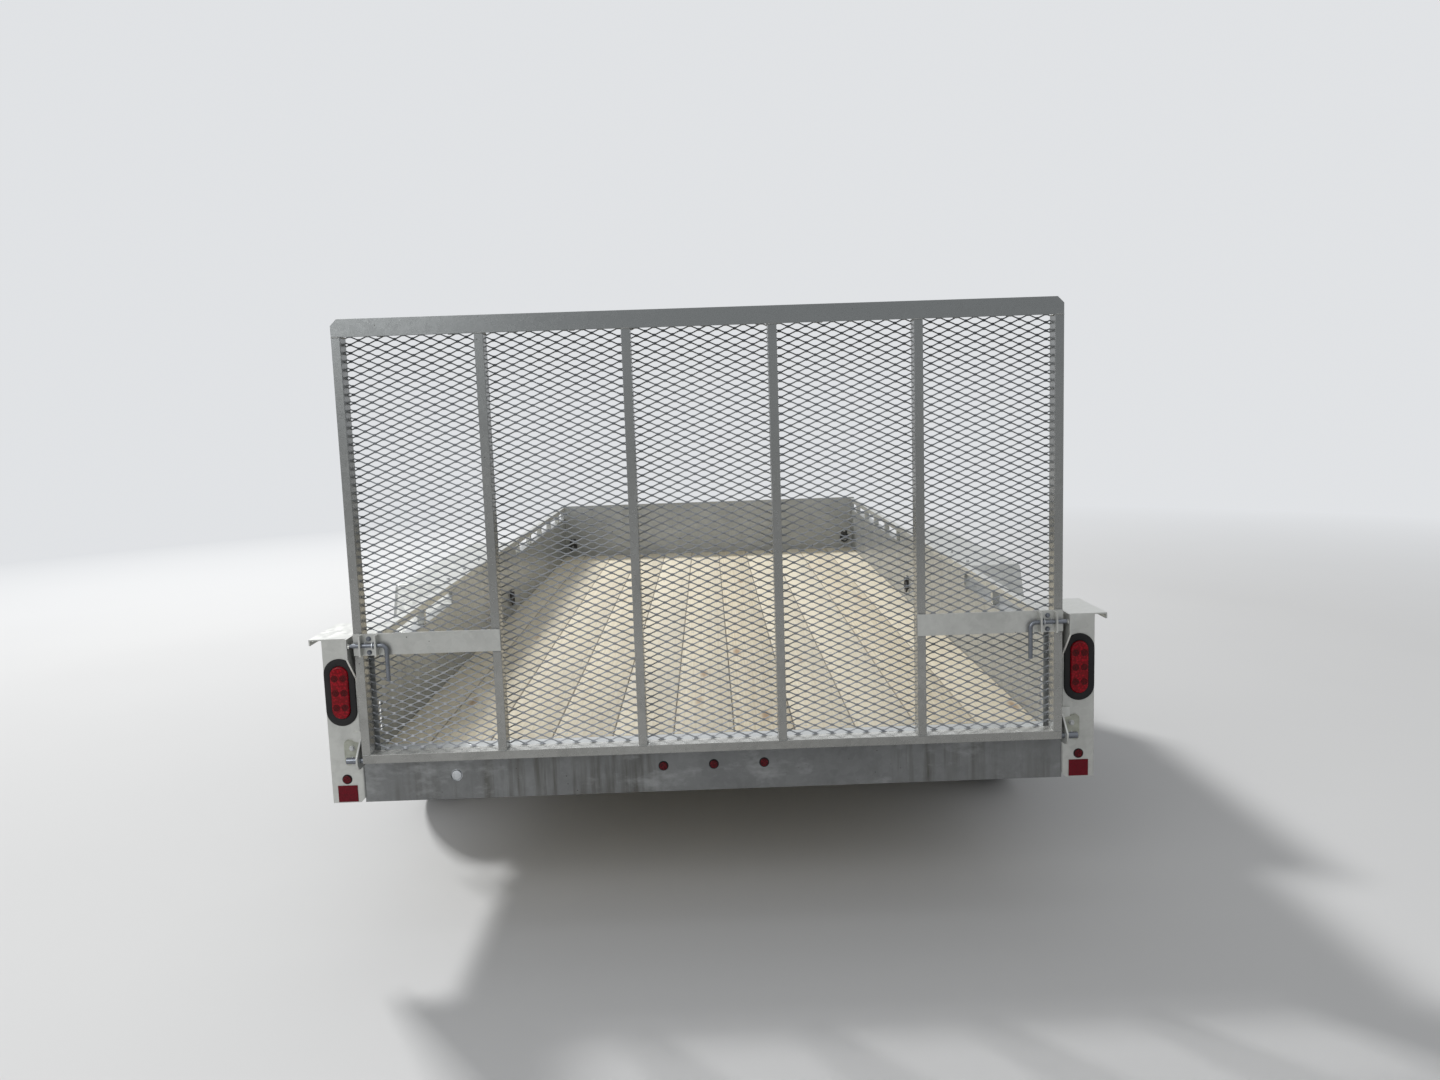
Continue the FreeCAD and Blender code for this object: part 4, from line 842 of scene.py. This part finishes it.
def rear_lamp(side, word):
    """Oval lamp: domed lens with round optics in two columns, rubber ring and dark back."""
    def oval(half_w, half_h, y):
        count = 20
        straight = half_h - half_w
        points = []
        for end in (1, -1):
            for i in range(count):
                a = math.pi * i / (count - 1)
                points.append((side * POST_MID + end * half_w * math.cos(a), y,
                               LAMP_Z + end * (straight + half_w * math.sin(a))))
        return points

    bm = bmesh.new()
    ring = [(45.5, 101.5, 0.0), (45.5, 101.5, -2.6), (44.1, 100.1, -4.6), (41.5, 97.5, -5.0),
            (34.0, 88.0, -5.0), (30.5, 83.5, -4.4), (27.4, 80.4, -3.5), (26.8, 79.8, -2.6),
            (28.3, 81.6, -0.6), (28.3, 81.6, 8.0), (33.0, 88.0, 8.0), (33.0, 88.0, 0.2),
            (41.0, 97.0, 0.0)]
    back = [(27.6, 80.9, 7.7), (27.6, 80.9, 24.6), (26.2, 79.5, 26.0)]
    loft(bm, [oval(*row) for row in ring], closed=True)
    loft(bm, [oval(*row) for row in back])
    finish_piece("lamp_ring_" + word, bm, RUBBER, "root")

    bm = bmesh.new()
    dome = [(27.6, 80.9, 7.6), (27.6, 80.9, -1.0), (26.3, 79.3, -2.3), (26.2, 79.2, -5.6),
            (25.2, 78.2, -7.4), (23.6, 76.6, -8.5), (20.4, 73.4, -8.95)]
    loft(bm, [oval(*row) for row in dome])
    finish_piece("lamp_lens_" + word, bm, LENS, "root")

    bm = bmesh.new()
    optic = [(-0.6, 10.3), (0.35, 10.3), (0.5, 9.7), (0.3, 8.7), (0.1, 8.0), (0.1, 5.2),
             (0.4, 4.0), (0.5, 0.0)]
    lens_face = -9.0
    for dz in (-44.0, 0.0, 44.0):
        for dx in (-12.6, 12.6):
            lathe(bm, optic, (side * POST_MID + dx, lens_face, LAMP_Z + dz), BACK, 30)
    finish_piece("lamp_optics_" + word, bm, LENS_CORE, "root")


def marker_rings():
    """Thin dark rings round the marker lamps: one on each post, three on the channel."""
    profile = [(0.05, 12.1), (0.05, 15.0), (1.6, 14.6), (2.4, 13.4), (2.0, 12.1)]
    post_z, channel_z, spacing = 480.0, 487.0, 151.0
    lamps = [(s * POST_MID, post_z) for s in (-1, 1)]
    lamps += [(i * spacing, channel_z) for i in (-1, 0, 1)]
    bm = bmesh.new()
    for x, z in lamps:
        lathe(bm, profile, (x, 0, z), BACK, 30)
    finish_piece("marker_rings", bm, RUBBER, "root")


# Bed

def deck():
    """Boards with eased edges, and a row of screws over each floor channel."""
    side_gap = 1.0
    rear, front = 62.0, BED_LENGTH - 2.0
    right = HALF_BED - side_gap
    spans = []
    while right > side_gap - HALF_BED:
        left = max(right - BOARD_WIDTH, side_gap - HALF_BED)
        spans.append((left, right))
        right -= BOARD_PITCH
    bm = bmesh.new()
    for x0, x1 in spans:
        block(bm, x0, x1, rear, front, BOARD_LOW, DECK_TOP, 1.3)
    finish_piece("deck_planks", bm, WOOD, "root", ("deck_boards",), smooth=50)

    head = [(-0.5, 6.4), (0.25, 6.2), (0.3, 3.2), (-1.2, 2.6), (-1.3, 0.0)]
    channels = 9
    flange_mid = 19.0
    first = 80.0
    last = BED_LENGTH - 290.0
    bm = bmesh.new()
    for k in range(channels):
        row = first + k * (last - first) / (channels - 1) + flange_mid
        for x0, x1 in spans:
            for share in (0.2, 0.8):
                x = x0 + (x1 - x0) * share + rng.uniform(-4, 4)
                lathe(bm, head, (x, row + rng.uniform(-3, 3), DECK_TOP), UP, 12)
    finish_bolts("deck_screws", bm)


def wall_welds(side, word):
    """Beads of a side wall: stakes, wheel box, top rail, front corner and lower edge."""
    inside = side * HALF_BED
    bm = bmesh.new()
    for y in STAKES:
        for z in (WALL_TOP + 1, RAIL_LOW - 1):
            for dy in (-TUBE_HALF, TUBE_HALF):
                weld(bm, (inside + side * 3, y + dy, z), (side * 19, 0, 0), 2.2)
            weld(bm, (inside, y - 11, z), (0, 22, 0), 2.0)
    for y in WHEEL_BOX:
        weld(bm, (inside + side * 1.5, y, WALL_TOP + 2), (0, 0, RAIL_LOW - WALL_TOP - 4), 1.8)
    for y in range(1000, 2320, 200):
        weld(bm, (inside, y, RAIL_LOW - 0.5), (0, 42, 0), 2.0)
    for z in (600.0, 680.0, 760.0, 840.0):
        weld(bm, (inside - side, BED_LENGTH - 1, z), (0, 0, 36), 2.4)
    for y in range(300, 4200, 420):
        weld(bm, (inside + side * 3, y, 441.0), (0, 40, 0), 2.4)
    finish_welds("wall_welds_" + word, bm)


def wall_bolts(side, word):
    """Bolts of the tie-down rings on side and front wall, of the fender and the stakes."""
    plate = 5.0
    fender_x = 1034.0
    stake_x = HALF_BED + TUBE_HALF
    stake_z = 857.0
    bm = bmesh.new()
    for z in (RING_Z - 23.0, RING_Z + 23.0):
        bolt(bm, (side * (HALF_BED - plate), RING_Y, z), (-side, 0, 0), 7.0, washer=False)
        bolt(bm, (side * (HALF_BED - 48), BED_LENGTH - plate, z), BACK, 7.0, washer=False)
    for y in FENDER_BOLTS:
        bolt(bm, (side * fender_x, y, RAIL_TOP), UP, 8.0)
    for y in STAKES:
        bolt(bm, (side * stake_x, y - TUBE_HALF, stake_z), BACK, 4.5, washer=False)
    finish_bolts("wall_bolts_" + word, bm)


# Running gear

def tyre(name, node, body, y, side):
    """Trailer tyre with ribs, cross grooves and a banded side."""
    half = [
        # sideways place from the tyre's middle, radius, drop inside a cross groove
        (0.0, 345.0, 2.5), (13.0, 345.0, 2.5), (14.5, 338.0, 0.0), (20.5, 338.0, 0.0),
        (22.0, 344.7, 5.0), (43.0, 344.0, 5.0), (44.5, 337.0, 0.0), (50.5, 337.0, 0.0),
        (52.0, 343.0, 6.5), (72.0, 340.6, 6.5), (84.0, 335.0, 6.0), (90.0, 327.0, 4.0),
        (94.5, 318.0, 1.0), (97.0, 309.0, 0.0), (99.4, 300.0, 0.0), (100.2, 297.0, 0.0),
        (99.6, 294.0, 0.0), (101.2, 284.0, 0.0), (101.4, 271.0, 0.0), (100.0, 258.0, 0.0),
        (97.6, 249.0, 0.0), (98.2, 247.0, 0.0), (97.0, 244.6, 0.0), (92.0, 234.0, 0.0),
        (86.0, 225.0, 0.0), (84.5, 221.0, 0.0), (81.5, 218.0, 0.0), (76.0, 212.0, 0.0),
        (68.0, 206.5, 0.0), (64.5, 203.5, 0.0), (64.0, 191.0, 0.0),
    ]
    inside = [(52.0, 196.0), (60.0, 215.0), (88.0, 250.0), (88.0, 300.0), (60.0, 328.0)]
    section = [(-x, r, drop) for x, r, drop in half[:0:-1]] + half
    section += [(x, r, 0.0) for x, r in inside]
    section += [(-x, r, 0.0) for x, r in inside[::-1]]
    # places of the rings within a pitch, as shares of it, and whether the tread is sunk there
    steps = ((0.0, 0), (0.74, 0), (0.78, 1), (0.96, 1))
    pitches = 66
    stagger = 0.42
    rings = []
    for start in around(pitches):
        for share, sunk in steps:
            ring = []
            for x, r, drop in section:
                a = start + 2 * math.pi / pitches * (share + (stagger if x < 0 else 0.0))
                radius = r - drop * sunk
                ring.append((side * WHEEL_X + x, y + radius * math.cos(a),
                             WHEEL_R + radius * math.sin(a)))
            rings.append(ring)
    bm = bmesh.new()
    loft(bm, rings, closed=True)
    finish_piece(name, bm, TYRE, body, (node,), smooth=38)


def wheel_nuts(name, body, y, side):
    """Five lug nuts on their seats."""
    across = 22.0
    r = across / math.sqrt(3)
    seat = [(0, 14.0), (5.0, 13.0)]
    head = [(4.5, r), (15.0, r), (17.0, r * 0.84), (18.5, r * 0.55)]
    disc = WHEEL_X + 28.0
    bm = bmesh.new()
    for i, a in enumerate(around(5, math.pi / 2)):
        at = (side * disc, y + LUG_RADIUS * math.cos(a), WHEEL_R + LUG_RADIUS * math.sin(a))
        lathe(bm, seat, at, (side, 0, 0), 20)
        lathe(bm, head, at, (side, 0, 0), 6, 0.3 * i)
    finish_bolts("nuts_" + name, bm, body)


def valve(name, body, y, side):
    """Valve stem through the disc, and the rubber cap over the hub."""
    hole, angle = 165.0, 0.9
    outwards = (side * 0.86, -0.32, -0.4)
    stem = [(-22, 6.5), (-8, 6.0), (0, 4.2), (14, 3.8), (14.5, 4.8), (24, 4.8), (25, 4.0)]
    cap = [(0, 19.0), (1.5, 18.5), (3.0, 12.0), (3.4, 0.0)]
    at = (side * (WHEEL_X + 42.0), y + hole * math.cos(angle), WHEEL_R + hole * math.sin(angle))
    bm = bmesh.new()
    lathe(bm, stem, at, outwards, 16)
    lathe(bm, cap, (side * (WHEEL_X + 65.6), y, WHEEL_R), (side, 0, 0), 28)
    finish_piece("valve_" + name, bm, RUBBER, body)


def running_gear(side, word):
    """Nuts of the spring clamps, bolts of backing plates and hangers, and the hangers' welds."""
    plate_x, plate_radius = 1064.0, 48.0
    clamp_z = 267.0
    eye_z = 348.5
    bm = bmesh.new()
    for y in AXLES:
        for dx in (-29.0, 29.0):
            for dy in (-36.3, 36.3):
                hex_head(bm, (side * SPRING_X + dx, y + dy, clamp_z), DOWN, 18.0, 10.0)
        for a in around(4, math.pi / 4):
            at = (side * plate_x, y + plate_radius * math.cos(a),
                  WHEEL_R + plate_radius * math.sin(a))
            bolt(bm, at, (-side, 0, 0), 10.0)
    for y in HANGERS:
        for s, x in ((-1, 928.0), (1, 1004.0)):
            hex_head(bm, (side * x, y, eye_z), (side * s, 0, 0), 21.0, 9.0, 0.4)
    finish_bolts("gear_nuts_" + word, bm)
    bm = bmesh.new()
    for y in HANGERS:
        for dy in (-35.0, 35.0):
            weld(bm, (side * 930.0, y + dy, 407.0), (side * 75, 0, 0), 3.0)
    finish_welds("gear_welds_" + word, bm)


# Tongue

def tongue_bolts():
    """Bolts of the coupler's plate and the jack's plate, and the nut on the coupler."""
    coupler_plate_top = 416.0
    jack_plate_top = 418.0
    radius = 46.0
    bm = bmesh.new()
    for s in (-1, 1):
        for x, y in ((92.0, 5302.0), (80.96, 5345.0)):
            bolt(bm, (s * x, y, coupler_plate_top), UP, 12.0)
    for a in around(6, math.pi / 6):
        at = (radius * math.cos(a), JACK_Y + radius * math.sin(a) * 0.92, jack_plate_top)
        bolt(bm, at, UP, 9.0)
    nut(bm, (0, 5470.0, 470.0), UP, 9.0, 8.0)
    finish_bolts("tongue_bolts", bm)


def tongue_welds():
    """Beads of the coupler, chain plate, leg crossings, jack plate and jack tube."""
    bm = bmesh.new()
    for s in (-1, 1):
        weld(bm, (s * 36, 5480.0, 409.0), (0, -80, 0), 3.2)
        weld(bm, (s * 104, 5312.0, 332.0), (-s * 16, 50, 0), 3.0)
        for y in (3660.0, 4215.0):
            x = APEX_HALF + LEG_SPREAD * (APEX_Y - y) / LEG_RUN
            weld(bm, (s * (x - 4), y, 408.0), (s * 38, 0, 0), 3.0)
        weld(bm, (s * 150, 5103.0, 409.0), (-s * 32, 0, 0), 3.0)
    ring, ripples = 30.5, 36
    angles = around(ripples) + [2 * math.pi]
    points = [(ring * math.cos(a), JACK_Y + ring * math.sin(a), 419.0) for a in angles]
    pipe(bm, points, [3.0 if i % 2 else 2.5 for i in range(ripples + 1)], 8)
    finish_welds("tongue_welds", bm)


def jack_collars():
    """Plated collars at the top of the jack's tube, under its crank and at its lower end."""
    collars = (
        (700.0, 36, [(0, 32.0), (2.0, 34.0), (7.0, 34.0), (9.0, 32.0)]),
        (753.5, 24, [(0, 12.0), (3.0, 12.0), (4.0, 8.0)]),
        (300.5, 36, [(0, 31.5), (3.0, 31.5), (4.0, 30.0)]),
    )
    bm = bmesh.new()
    for z, count, profile in collars:
        lathe(bm, profile, (0, JACK_Y, z), UP, count)
    finish_piece("jack_collars", bm, PLATED, "root")


LOOKS = {
    "rear_crossmember": GALVANISED_CHANNEL, "gate_frame": GALVANISED_GATE,
    "front_wall": GALVANISED_WALL, "side_panel_left": GALVANISED_WALL,
    "side_panel_right": GALVANISED_WALL, "fender_left": GALVANISED, "fender_right": GALVANISED,
    "latch_pins": PIN, "hinge_pins": PIN, "jack_body": PLATED, "jack_leg": PLATED,
    "coupler": PLATED, "spring_clamps": PLATED, "axle_front": BLACK, "axle_rear": BLACK,
    "leaf_springs": BLACK, "equalizers": BLACK, "tie_downs": BLACK, "jack_crank": CRANK,
    "lamp_grommets": RUBBER, "lamp_lenses": LENS, "marker_lamps": MARKER,
    "reflectors": REFLECTOR, "side_markers": AMBER, "deck_boards": WOOD,
}


def dress_nodes():
    """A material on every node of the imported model; galvanised where none is named."""
    for name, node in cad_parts.items():
        look = LOOKS.get(name, GALVANISED)
        if name.startswith("tyre_"):
            look = TYRE
        if name.startswith("wheel_"):
            look = WHEEL
        slots = node.data.materials
        if not slots:
            slots.append(look)
        for i in range(len(slots)):
            slots[i] = look


add_camera()
add_world()
add_lamps()
add_floor()
bpy.context.scene.view_settings.view_transform = "Standard"
dress_nodes()
expanded_metal()
gate_welds()
latch_fittings()
each_side(hinge_foot, post_welds)
each_side(rear_lamp)
marker_rings()
channel_plug()
deck()
softened("gate_frame", GALVANISED_GATE, 1.2, "gate")
for _, side_word in SIDES:
    lit_keeper_paint(softened("rear_post_" + side_word, GALVANISED, 1.0, "root"))
    softened("top_rail_" + side_word, GALVANISED, 1.2, "root")
each_side(lit_jamb_sheet)
each_side(wall_welds, wall_bolts)
each_side(running_gear)
tongue_bolts()
tongue_welds()
jack_collars()
for place_word, axle_y in zip(("rear", "front"), AXLES):
    for side_sign, side_word in SIDES:
        tag = place_word + "_" + side_word
        assembly = "wheel_assembly_" + tag
        tyre("tread_" + tag, "tyre_" + tag, assembly, axle_y, side_sign)
        wheel_nuts(tag, assembly, axle_y, side_sign)
        valve(tag, assembly, axle_y, side_sign)
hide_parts("lamp_lenses")
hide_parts("lamp_grommets")
